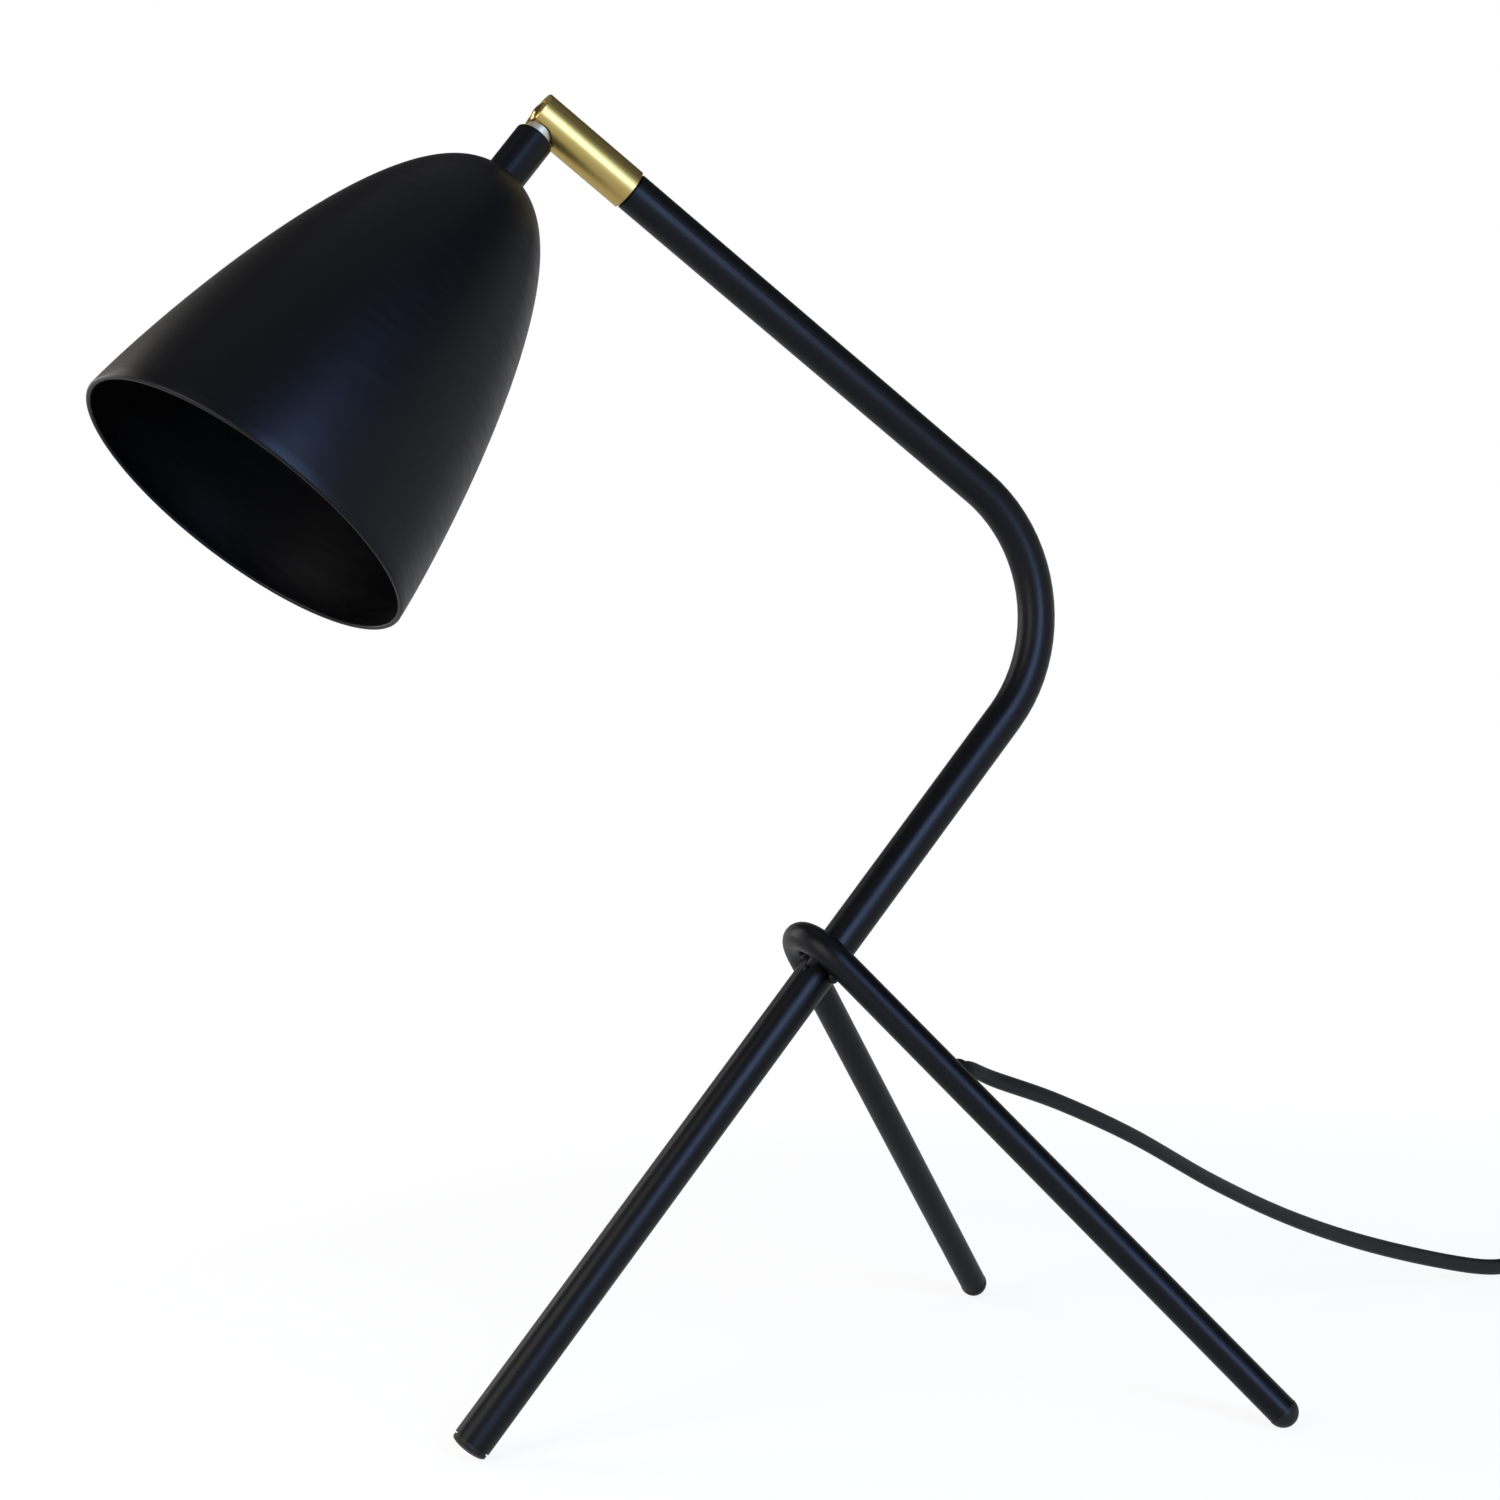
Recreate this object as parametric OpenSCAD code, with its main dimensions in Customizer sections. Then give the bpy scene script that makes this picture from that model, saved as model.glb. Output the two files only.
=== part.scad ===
// Tripod table lamp: one bent tube is the front leg and the arm, a hairpin of
// thinner tube makes the two rear legs, and a brass ball knuckle carries the shade.
// Millimetres, +Z up, the lamp faces -Y and its plane of symmetry is X = 0.

/* [Front leg and arm tube] */
// Outside diameter of the front leg and arm tube
tube_d = 13; // [12:0.5:14]
// Wall of the tube
tube_wall = 1.5; // [1:0.1:1.8]
// Angle of the front leg above the table
leg_slope = 47.8; // [44:0.5:52]
// Angle of the arm above the horizontal
arm_slope = 37.4; // [32:0.5:42]
// Length of the front leg, from its lower end to the crossing with the rear legs
leg_len = 191.4; // [170:1:210]
// Length from the crossing up to the corner where leg and arm would meet
knee_len = 167; // [150:1:190]
// Length from that corner to the upper end of the tube
arm_len = 215.6; // [190:1:230]
// Radius of the bend, at the middle of the tube
bend_r = 54.3; // [45:1:65]
// Distance of the crossing behind the middle of the footprint
hub_y = 61.6; // [50:0.1:70]

/* [Rear legs] */
// Outside diameter of the hairpin tube
rod_d = 10; // [9:0.5:11]
// Wall of the hairpin tube
rod_wall = 1.2; // [1:0.1:1.4]
// Angle of the rear legs' plane above the table
hairpin_slope = 52.9; // [49:0.5:57]
// Half of the angle between the two rear legs
hairpin_spread = 25.4; // [20:0.5:30]
// Radius of the hairpin's bend, at the middle of the tube
hairpin_r = 16; // [15:0.5:20]
// Diameter of each weld between the arm tube and a rear leg
weld_d = 6.4; // [5.5:0.1:7]

/* [Feet] */
// Diameter of the front foot's button
plug_d = 12.4; // [11.4:0.1:12.8]
// Height of the button's straight edge above the tube's end
plug_edge = 1.4; // [1:0.1:2]
// Height of the button's dome
plug_dome = 1.7; // [1.2:0.1:2.4]
// Height of the groove between the tube's end and the button
plug_groove = 0.5; // [0.3:0.1:0.8]
// Length of each foot's spigot inside its tube
spigot_len = 9; // [6:0.5:14]
// Amount by which a rear cap stands out past its tube, on the radius
cap_step = 0.1; // [0:0.05:0.3]

/* [Brass knuckle] */
// Diameter of the knuckle sleeve
sleeve_d = 14; // [13.6:0.1:15]
// Length of the knuckle sleeve
sleeve_len = 38.4; // [34:0.2:44]
// Rounding of the sleeve's open end
sleeve_round = 0.7; // [0.3:0.1:0.9]
// Diameter of the ball
ball_d = 11.6; // [11.4:0.1:12]
// Distance from the ball's centre to the sleeve's open end
ball_in = 4.8; // [4:0.1:5.2]
// Diameter of the neck that stands in the sleeve's slot
neck_d = 9; // [8.4:0.1:9.4]
// Width of the slot and of the opening at the sleeve's end
slot_w = 10.1; // [9.8:0.1:10.4]
// Turn of the sleeve about the arm
head_turn = 6.1; // [-10:0.1:10]
// Angle between the arm and the stem
tilt = 87; // [0:0.1:92]
// Distance from the ball's centre to the top of the stem
stem_top = 8.2; // [8:0.1:9]
// Height of the flange between the tube and the sleeve
flange_h = 1; // [0.6:0.1:2]
// Diameter of that flange
flange_d = 12.2; // [11.4:0.1:12.6]
// Length of the bush that screws into the sleeve
bush_up = 11; // [8:0.5:13]
// Length of the bush inside the tube
bush_down = 14; // [10:0.5:18]
// Diameter of the knuckle spring's wire
spring_wire = 1.1; // [0.8:0.1:1.3]

/* [Shade] */
// Diameter of the shade's mouth
shade_d = 112; // [100:1:130]
// Depth of the shade from the crown's peak to the mouth
shade_len = 138.7; // [125:0.1:155]
// Fullness of the shade's side, 2 would be half an ellipse
shade_bulge = 1.25; // [1.15:0.01:1.5]
// Bluntness of the shade's crown, 2 would be half an ellipse
shade_blunt = 2.36; // [2:0.01:2.6]
// Wall of the shade
shade_wall = 1; // [0.8:0.1:1.2]
// Diameter of the rolled lip
lip_d = 1.6; // [1.3:0.1:2]
// Diameter of the stem
stem_d = 13; // [12.4:0.1:13.6]
// Length of the stem
stem_len = 18.7; // [16:0.1:22]
// Diameter of the stud's tail, on which the stem turns
tail_d = 8; // [7.6:0.1:8.4]
// Diameter of the hollow nipple that clamps the shade
nipple_d = 10; // [9.8:0.1:10.2]
// Width of the lock nut across its corners
nut_d = 15; // [14:0.5:18]

/* [Lampholder and bulb] */
// Diameter of the lampholder
holder_d = 26.8; // [26:0.1:28]
// Length of the lampholder
holder_len = 36; // [34:0.5:40]
// Diameter of the bulb's screw base
base_d = 13.8; // [13.6:0.1:14]
// Length of the bulb's screw base
base_len = 16; // [15:0.5:17]
// Diameter of the bulb
bulb_d = 45; // [40:1:50]
// Length of the bulb from its base to its tip
bulb_len = 60; // [58:1:64]
// Length of the bulb's plastic housing
housing_len = 22; // [18:1:26]

/* [Cord] */
// Width of the flat cord
cord_w = 6; // [5.6:0.1:6.2]
// Thickness of the flat cord
cord_t = 3.6; // [3.2:0.1:3.7]
// Distance along the rear leg from the crossing to the cord's outlet
outlet_down = 58; // [50:1:70]
// Direction of the outlet around the leg
outlet_side = 234; // [220:1:250]
// Diameter of the lead inside the tubes
lead_d = 3.2; // [2.8:0.1:3.4]

/* [Switch and plug] */
// Length of the switch
switch_len = 62; // [58:1:66]
// Width of the switch
switch_w = 24; // [22:1:26]
// Height of the switch
switch_h = 16; // [15:0.5:18]
// Length of the rocker
rocker_len = 18; // [16:1:20]
// Width of the rocker
rocker_w = 9; // [8:0.5:11]
// Length of the plug's body
plug_len = 36; // [34:1:38]
// Width of the plug's front face
plug_w = 35.3; // [34.6:0.1:36]
// Thickness of the plug's body
plug_t = 13.6; // [13:0.2:14.4]
// Diameter of the plug's pins
pin_d = 4; // [3.9:0.1:4.1]
// Distance between the plug's pins
pin_gap = 18.6; // [18:0.1:19.2]
// Length of the plug's pins
pin_len = 19; // [18:0.5:20]
// Diameter of a pin inside the plug and its sleeve
pin_shank_d = 3; // [2.6:0.1:3.1]
// Width of the plug's collar around the cord
plug_neck = 12; // [10:0.5:14]

/* [Hidden] */
$fn = 64;
// Clearance of a fixed fit, on the radius
fit = 0.05;
// Clearance of a turning fit, on the radius
run = 0.05;
// Gap between two pieces that move past each other
free = 0.3;
// Cutters reach past the faces they cut by this much
over = 1;
// A bent tube is this much thinner on the radius, and its straight ends lap over it by seam
slim = 0.02;
seam = 0.4;

tube_r = tube_d / 2;
tube_in = tube_r - tube_wall;
rod_r = rod_d / 2;
rod_in = rod_r - rod_wall;
plug_r = plug_d / 2;
cap_r = rod_r + cap_step;
lead_r = lead_d / 2;
lead_hole = lead_r + 0.5;
lead_gap = lead_r + 0.4;

// The front foot's button touches the table, and that sets the height of the crossing.
foot_reach = sqrt(pow(plug_r * cos(leg_slope), 2) + pow(plug_dome * sin(leg_slope), 2));
foot_h = plug_edge * sin(leg_slope) + foot_reach;
hub_z = foot_h + leg_len * sin(leg_slope);

// The tube bends through this angle, and the bend starts this far before the corner.
bend_turn = 180 - leg_slope - arm_slope;
bend_cut = bend_r * tan(bend_turn / 2);

// The hairpin is hooked over the arm tube and lies against its upper front side.
skew = leg_slope + hairpin_slope - 90;
touch = 0.1;
hook = (tube_r + rod_r + touch) / cos(skew);
hairpin_mid = hairpin_r - hook;
leg_side = hairpin_r - hairpin_mid * sin(hairpin_spread);
leg_start = hairpin_mid * cos(hairpin_spread);
foot_down = (hub_z - cap_r) / sin(hairpin_slope);
leg_end = foot_down / cos(hairpin_spread) + leg_side * tan(hairpin_spread);

// Knuckle, measured along the arm from the corner.
sleeve_from = arm_len + flange_h;
ball_at = sleeve_from + sleeve_len - ball_in;
ball_r = ball_d / 2;
sleeve_in = ball_r + run;
seat_top = neck_d / 2 + 0.4;
seat_back = 9;
spring_turns = 5;
spring_r = sleeve_in - free - spring_wire / 2;
spring_from = sleeve_from + bush_up + spring_wire / 2 + 0.1;
spring_to = ball_at - seat_back - spring_wire / 2 - 0.1;

// Shade, measured along its axis from the ball's centre.
shade_from = stem_top + stem_len - crown_drop(stem_d / 2, shade_d / 2, shade_len);
land_at = stem_top + stem_len;
shade_end = shade_from + shade_len;
tail_end = land_at - 5;
shoulder = tail_end - 2.6;
clip_h = 1;
washer_h = 1;
nut_h = 3;
washer_at = land_at + shade_wall;
nut_at = washer_at + washer_h;
cap_at = nut_at + nut_h + 0.1;
cap_len = 16;
cap_neck = 8;
holder_r = holder_d / 2;
holder_end = cap_at + holder_len;
skirt_wall = 1.2;
screw_r = base_d / 2 + 0.1;
shell_wall = 0.4;
base_at = holder_end - base_len - 1;
core_at = base_at - 6;
tip_h = 1.5;
dome_at = base_at + base_len + bulb_len - bulb_d / 2;

// Switch, measured from the table and from its middle.
switch_entry = 6;
switch_floor = 1.6;
switch_roof = 1.8;
switch_round = 5;
post_x = switch_len / 2 - 12;
post_d = 6.4;
screw_d = 2.4;
screw_head_d = 4.6;
screw_head_h = 1.2;
pivot_z = switch_h - 4;
pivot_d = 2.2;
pivot_len = 2;
rocker_r = rocker_len / 2;
rocker_rise = 4.2;
rocker_slope = 8;
rib_t = 2.2;

// Plug, measured from its rear face.
plug_flat = 26.4;
pin_seat = 12;

// The cord reaches this far into the switch and the plug, with this clearance all round.
stub = 9;
way = 0.3;
// Sum of the two walls of the grommet's sleeve
grommet_wall = 1.6;

// Places on the table of the switch, the coil and the plug.
switch_pos = [-23, 430, 0];
switch_aim = 90;
coil_pos = [-62, 520, 0];
coil_in = 25.8;
coil_out = 40.4;
coil_h = 2 * cord_w + 0.2;
plug_pos = [-15.5, 576, plug_t / 2];
plug_aim = 86;

// Cord route from the outlet to the switch, on to the coil, and from the coil to the plug.
lead_points = [
    [36.4, 91.5, 111], [34.1, 95, 112.2], [32.2, 99.4, 111.6], [29.8, 109, 107.2],
    [24.5, 136, 96.4], [17, 170, 80], [8, 209, 58], [-1, 247, 39.4], [-9, 286, 23.8],
    [-15.5, 328, 10.3], [-18.5, 356, 3.7], [-21.3, 374, 4.2],
    in_switch(-switch_len / 2 - 11), in_switch(-switch_len / 2 - 3),
    in_switch(stub - switch_len / 2)
];
tail_points = [
    in_switch(switch_len / 2 - stub), in_switch(switch_len / 2 + 3),
    in_switch(switch_len / 2 + 10), [-23, 484, 3.8], [-23, 504, 3.1], [-23.7, 522.7, 3.1]
];
end_points = [
    [-23.8, 515.3, 9.2], [-22.6, 525.2, 9.2], [-20.2, 541, 8], [-18.1, 557, 7],
    in_plug(-4), in_plug(stub)
];

// Point on the switch's or the plug's axis, at x along it.
function along(pos, aim, x) = pos + x * [cos(aim), sin(aim), 0];
function in_switch(x) = along(switch_pos, switch_aim, x) + [0, 0, switch_entry];
function in_plug(x) = along(plug_pos, plug_aim, x);

// Depth below the peak at which a crown of mouth radius big reaches radius r.
function crown_drop(r, big, len) =
    len * (1 - pow(1 - pow(r / big, shade_blunt), 1 / shade_bulge));
// Radius of the crown at the share u of its depth.
function bell(u, big) = big * pow(1 - pow(1 - u, shade_bulge), 1 / shade_blunt);
// Shares of the depth, closer together near the crown.
function bell_steps(first, n) = [for (i = [0 : n]) first + (1 - first) * pow(i / n, 2)];

function unit(v) = v / norm(v);
function mix(a, b, s) = a * (1 - s) + b * s;

// ---- Frames ----

// Origin at the crossing, +Z up along the front leg, +Y on its underside.
module on_leg() {
    translate([0, hub_y, hub_z]) rotate([leg_slope - 90, 0, 0]) children();
}

// Origin at the corner of leg and arm, +Z along the arm, +Y on its top side.
module on_arm() {
    on_leg() translate([0, -bend_r, knee_len - bend_cut]) rotate([bend_turn, 0, 0])
        translate([0, bend_r, -bend_cut]) children();
}

// Origin at the crossing, +Z down the middle between the rear legs, +Y to the front.
module on_hairpin() {
    translate([0, hub_y, hub_z]) rotate([-90 - hairpin_slope, 0, 0]) children();
}

// Origin on a rear leg's axis beside the crossing, +Z down that leg, +X outward.
module on_rear_leg(side) {
    on_hairpin() mirror([side < 0 ? 1 : 0, 0, 0]) rotate([0, hairpin_spread, 0])
        translate([leg_side, 0, 0]) children();
}

// Origin at the ball's centre, +Z along the arm, the slot is on -Y.
module on_knuckle() {
    on_arm() translate([0, 0, ball_at]) rotate([0, 0, head_turn]) children();
}

// Origin at the ball's centre, +Z along the stem to the shade's mouth.
module on_shade() {
    on_knuckle() rotate([tilt, 0, 0]) children();
}

// Origin on the outlet, +Z outward from the leg, +X down the leg.
module on_outlet() {
    on_rear_leg(1) translate([0, 0, outlet_down]) rotate([0, 0, outlet_side])
        rotate([0, 90, 0]) mirror([1, 0, 0]) children();
}

module on_switch() {
    translate(switch_pos) rotate([0, 0, switch_aim]) children();
}

module on_plug() {
    translate(plug_pos) rotate([0, 0, plug_aim]) children();
}

// ---- Shapes used more than once ----

module tube(r_out, r_in, h) {
    difference() {
        cylinder(r = r_out, h = h);
        translate([0, 0, -over]) cylinder(r = r_in, h = h + 2 * over);
    }
}

// Straight bar or bore of radius r with a round end past its far end.
module round_bar(r, h) {
    cylinder(r = r, h = h);
    translate([0, 0, h]) sphere(r = r);
}

// Bend that starts at the origin, heads along +Z and turns towards -Y.
module bend(radius, angle, r) {
    translate([0, -radius, 0]) rotate([90, 0, 90])
        rotate_extrude(angle = angle, $fn = 128) translate([radius, 0]) circle(r = r);
}

// The line of the front leg and arm, as a bar of radius r.
module arm_line(r, from, to) {
    on_leg() translate([0, 0, from]) cylinder(r = r, h = knee_len - bend_cut - from + seam);
    on_leg() translate([0, 0, knee_len - bend_cut]) bend(bend_r, bend_turn, r - slim);
    on_arm() translate([0, 0, bend_cut - seam]) cylinder(r = r, h = to - bend_cut + seam);
}

// The line of the hairpin, as a bar of radius r that ends short of the legs' ends by cut.
module hairpin_line(r, cut) {
    on_hairpin() translate([0, 0, hairpin_mid]) rotate([90, 0, 0])
        rotate([0, 0, 180 + hairpin_spread])
            rotate_extrude(angle = 180 - 2 * hairpin_spread, $fn = 128)
                translate([hairpin_r, 0]) circle(r = r - slim);
    for (side = [-1, 1])
        on_rear_leg(side) translate([0, 0, leg_start - seam])
            cylinder(r = r, h = leg_end - leg_start - cut + seam);
}

// Hole for the lead from the middle of the arm tube to the middle of the right rear leg.
module lead_crossing(r) {
    on_hairpin() rotate([0, 90 + hairpin_spread, 0]) cylinder(r = r, h = leg_side);
}

// Bar with two round sides, as wide as w along X and t along Y.
module oval_bar(w, t, h) {
    for (x = [-1, 1])
        translate([x * (w - t) / 2, 0, 0]) cylinder(d = t, h = h);
    translate([-(w - t) / 2, -t / 2, 0]) cube([w - t, t, h]);
}

// Box with rounded upright edges, centred on the origin in X and Y.
module round_box(l, w, h, r) {
    linear_extrude(h) {
        square([l - 2 * r, w], center = true);
        square([l, w - 2 * r], center = true);
        for (x = [-1, 1], y = [-1, 1])
            translate([x * (l / 2 - r), y * (w / 2 - r)]) circle(r = r);
    }
}

// Flat cord through the points of a route, lying along side vectors given at each point.
module flat_cord(route, sides) {
    n = 10;
    count = len(route);
    ring = [for (i = [0 : count - 1])
        let (
            ahead = unit(route[min(i + 1, count - 1)] - route[max(i - 1, 0)]),
            thin = unit(cross(sides[i], ahead)),
            wide = cross(ahead, thin)
        )
        for (k = [0 : n - 1])
            let (a = 360 * (k + 0.5) / n)
            route[i] + wide * cord_w / 2 * cos(a) / cos(180 / n)
                + thin * cord_t / 2 * sin(a)];
    caps = [[for (k = [n - 1 : -1 : 0]) k], [for (k = [0 : n - 1]) (count - 1) * n + k]];
    walls = [for (i = [0 : count - 2], k = [0 : n - 1])
        let (a = i * n + k, b = i * n + (k + 1) % n)
        each [[a, b, a + n], [b, b + n, a + n]]];
    polyhedron(points = ring, faces = concat(caps, walls));
}

// Points of a smooth curve through the chosen ones, with steps points on each stretch.
function smooth(p, steps) = [
    for (i = [0 : len(p) - 2], k = [0 : steps - 1])
        let (
            a = p[max(i - 1, 0)],
            b = p[i],
            c = p[i + 1],
            d = p[min(i + 2, len(p) - 1)],
            s = k / steps
        )
        0.5 * (2 * b + (c - a) * s + (2 * a - 5 * b + 4 * c - d) * s * s
            + (3 * b - a - 3 * c + d) * s * s * s),
    p[len(p) - 1]
];

// ---- Frame of the lamp ----

module arm_tube() {
    color([0.07, 0.07, 0.08]) difference() {
        arm_line(tube_r, -leg_len, arm_len);
        arm_line(tube_in, -leg_len - over, arm_len + over);
        lead_crossing(lead_hole);
    }
}

module rear_legs() {
    color([0.07, 0.07, 0.08]) difference() {
        hairpin_line(rod_r, 0);
        hairpin_line(rod_in, -over);
        lead_crossing(lead_hole);
        on_outlet()
            oval_bar(cord_w + grommet_wall + 2 * fit, cord_t + grommet_wall + 2 * fit, rod_r + over);
    }
}

// One bead at each side fills the space between the arm tube and a rear leg.
module hub_welds() {
    color([0.09, 0.09, 0.1]) difference() {
        on_hairpin() for (side = [-1, 1])
            rotate([0, side * (90 + hairpin_spread), 0])
                translate([0, 0, tube_r - 2]) cylinder(d = weld_d, h = leg_side - tube_r);
        on_leg() translate([0, 0, -20]) cylinder(r = tube_r, h = 40);
        hairpin_line(rod_r, 0);
        lead_crossing(lead_hole);
    }
}

// Domed button with a spigot, pushed into the lower end of the front leg.
module front_foot() {
    color([0.05, 0.05, 0.05]) on_leg() translate([0, 0, -leg_len]) rotate([180, 0, 0]) {
        translate([0, 0, -spigot_len]) cylinder(r = tube_in - fit, h = spigot_len);
        cylinder(r = plug_r - plug_groove, h = plug_groove);
        translate([0, 0, plug_groove]) cylinder(r = plug_r, h = plug_edge - plug_groove);
        translate([0, 0, plug_edge]) rotate_extrude() button_half(plug_r, plug_dome);
    }
}

// Quarter of an ellipse, from the axis out to the radius r and up to the height h.
module button_half(r, h) {
    steps = 12;
    polygon([[0, 0], for (i = [0 : steps])
        let (a = 90 * i / steps) [r * cos(a), h * sin(a)]]);
}

module rear_foot(side) {
    color([0.05, 0.05, 0.05]) on_rear_leg(side) translate([0, 0, leg_end]) {
        translate([0, 0, -spigot_len]) cylinder(r = rod_in - fit, h = spigot_len);
        difference() {
            sphere(r = cap_r);
            translate([-cap_r, -cap_r, -2 * cap_r]) cube(2 * cap_r);
        }
    }
}

module rear_foot_right() {
    rear_foot(1);
}

module rear_foot_left() {
    rear_foot(-1);
}

// ---- Knuckle ----

// Pushed into the tube and screwed into the sleeve.
module tube_bush() {
    color([0.12, 0.12, 0.12]) on_arm() difference() {
        union() {
            translate([0, 0, arm_len - bush_down]) cylinder(r = tube_in - fit, h = bush_down);
            translate([0, 0, arm_len]) cylinder(d = flange_d, h = flange_h);
            translate([0, 0, sleeve_from]) cylinder(r = sleeve_in - fit, h = bush_up);
        }
        translate([0, 0, arm_len - bush_down - over])
            cylinder(r = lead_hole + 0.6, h = bush_down + flange_h + bush_up + 2 * over);
    }
}

// Sleeve, slotted on one side so that the neck can swing from the end to the side.
module knuckle_sleeve() {
    color([0.78, 0.63, 0.33]) on_knuckle() difference() {
        translate([0, 0, ball_in - sleeve_len]) rotate_extrude() {
            square([sleeve_d / 2, sleeve_len - sleeve_round]);
            square([sleeve_d / 2 - sleeve_round, sleeve_len]);
            translate([sleeve_d / 2 - sleeve_round, sleeve_len - sleeve_round])
                circle(r = sleeve_round);
        }
        translate([0, 0, ball_in - sleeve_len - over])
            cylinder(r = sleeve_in, h = sleeve_len - ball_in + over);
        sphere(r = sleeve_in);
        cylinder(d = slot_w, h = ball_in + over);
        rotate([90, 0, 0]) cylinder(d = slot_w, h = sleeve_d);
        translate([-slot_w / 2, -sleeve_d, 0]) cube([slot_w, sleeve_d, ball_in + over]);
    }
}

// Round wire wound about the lead, pressing the seat against the ball.
module knuckle_spring() {
    steps = 14;
    n = 8;
    count = spring_turns * steps + 1;
    pitch = (spring_to - spring_from) / spring_turns;
    ring = [for (i = [0 : count - 1], k = [0 : n - 1])
        let (
            a = 360 * i / steps,
            b = 360 * k / n,
            r = spring_r + spring_wire / 2 * cos(b)
        )
        [r * cos(a), r * sin(a), spring_from + pitch * i / steps + spring_wire / 2 * sin(b)]];
    caps = [[for (k = [n - 1 : -1 : 0]) k], [for (k = [0 : n - 1]) (count - 1) * n + k]];
    walls = [for (i = [0 : count - 2], k = [0 : n - 1])
        let (a = i * n + k, b = i * n + (k + 1) % n)
        each [[a, b, a + n], [b, b + n, a + n]]];
    color([0.6, 0.6, 0.62]) on_arm() polyhedron(points = ring, faces = concat(caps, walls));
}

module ball_seat() {
    color([0.85, 0.85, 0.82]) on_knuckle() difference() {
        translate([0, 0, -seat_back]) cylinder(r = sleeve_in - fit, h = seat_back - seat_top);
        sphere(r = ball_r + run);
        translate([0, 0, -seat_back - over]) cylinder(r = lead_hole, h = seat_back);
    }
}

// Ball, neck and tail turned from one bar, with a way through for the lead.
module ball_stud() {
    color([0.86, 0.82, 0.7]) on_shade() difference() {
        union() {
            sphere(r = ball_r);
            cylinder(d = neck_d, h = stem_top - 0.1);
            cylinder(d = tail_d, h = tail_end);
        }
        cylinder(r = lead_hole, h = tail_end + over);
        translate([-lead_hole, -ball_d, -ball_d])
            cube([2 * lead_hole, ball_d + lead_hole, ball_d + lead_hole]);
        translate([0, 0, shoulder + 0.1]) difference() {
            cylinder(r = tail_d, h = clip_h + 0.1);
            translate([0, 0, -over]) cylinder(r = tail_d / 2 - 0.5, h = clip_h + 3 * over);
        }
    }
}

// Open spring ring in the tail's groove, under the shoulder inside the stem.
module stud_clip() {
    color([0.6, 0.6, 0.62]) on_shade() translate([0, 0, shoulder + 0.15]) difference() {
        cylinder(r = nipple_d / 2 - free, h = clip_h);
        translate([0, 0, -over]) cylinder(r = tail_d / 2 - 0.5 + fit, h = clip_h + 2 * over);
        translate([0, -1.5, -over]) cube([tail_d, 3, clip_h + 2 * over]);
    }
}

// ---- Shade and what clamps it ----

module stem() {
    edge = 0.5;
    color([0.07, 0.07, 0.08]) on_shade() difference() {
        translate([0, 0, stem_top]) rotate_extrude() {
            translate([0, edge]) square([stem_d / 2, stem_len - edge]);
            square([stem_d / 2 - edge, stem_len]);
            translate([stem_d / 2 - edge, edge]) circle(r = edge);
        }
        cylinder(r = tail_d / 2 + run, h = land_at);
        translate([0, 0, shoulder]) cylinder(r = nipple_d / 2 + fit, h = stem_len);
    }
}

// Spun shell with a flat land for the stem and a rolled lip at the mouth.
module shade() {
    steps = 22;
    big = shade_d / 2;
    small = big - shade_wall;
    deep = shade_len - shade_wall;
    flat_out = crown_drop(stem_d / 2, big, shade_len);
    outside = [for (u = bell_steps(flat_out / shade_len, steps))
        [bell(u, big), u * shade_len]];
    inside = [for (u = bell_steps(flat_out / deep, steps))
        [bell(u, small), shade_wall + u * deep]];
    color([0.06, 0.06, 0.07]) on_shade() translate([0, 0, shade_from])
        rotate_extrude($fn = 128) {
            polygon(concat(
                [[nipple_d / 2 + fit, flat_out]],
                outside,
                [for (i = [steps : -1 : 0]) inside[i]],
                [[nipple_d / 2 + fit, flat_out + shade_wall]]
            ));
            translate([big - lip_d / 2, shade_len - lip_d / 2]) circle(d = lip_d);
        }
}

module shade_nipple() {
    color([0.75, 0.62, 0.35]) on_shade() translate([0, 0, tail_end + 0.3])
        tube(nipple_d / 2, nipple_d / 2 - 1.2, cap_at + 5 - tail_end - 0.3);
}

module shade_washer() {
    color([0.7, 0.7, 0.72]) on_shade() translate([0, 0, washer_at])
        tube(stem_d / 2 - 0.4, nipple_d / 2 + fit, washer_h);
}

module lock_nut() {
    color([0.75, 0.62, 0.35]) on_shade() translate([0, 0, nut_at]) difference() {
        cylinder(d = nut_d, h = nut_h, $fn = 6);
        translate([0, 0, -over]) cylinder(r = nipple_d / 2 + fit, h = nut_h + 2 * over);
    }
}

// ---- Lampholder ----

module holder_cap() {
    color([0.06, 0.06, 0.06]) on_shade() translate([0, 0, cap_at]) difference() {
        rotate_extrude() polygon([
            [0, 0], [cap_neck, 0], [cap_neck, 3], [holder_r - 1, 9], [holder_r, 10],
            [holder_r, cap_len], [0, cap_len]
        ]);
        translate([0, 0, -over]) cylinder(r = nipple_d / 2 + fit, h = 5 + over);
        translate([0, 0, 5]) cylinder(r1 = 5.5, r2 = holder_r - 2.4, h = 4);
        translate([0, 0, 9]) cylinder(r = holder_r - 2.4, h = cap_len);
    }
}

module holder_skirt() {
    color([0.06, 0.06, 0.06]) on_shade() translate([0, 0, cap_at + cap_len])
        difference() {
            union() {
                translate([0, 0, -5])
                    cylinder(r = holder_r - 2.4 - fit, h = 5);
                cylinder(r = holder_r - 0.4, h = holder_len - cap_len);
            }
            translate([0, 0, -5 - over])
                cylinder(r = holder_r - 2.4 - skirt_wall, h = holder_len);
        }
}

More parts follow.
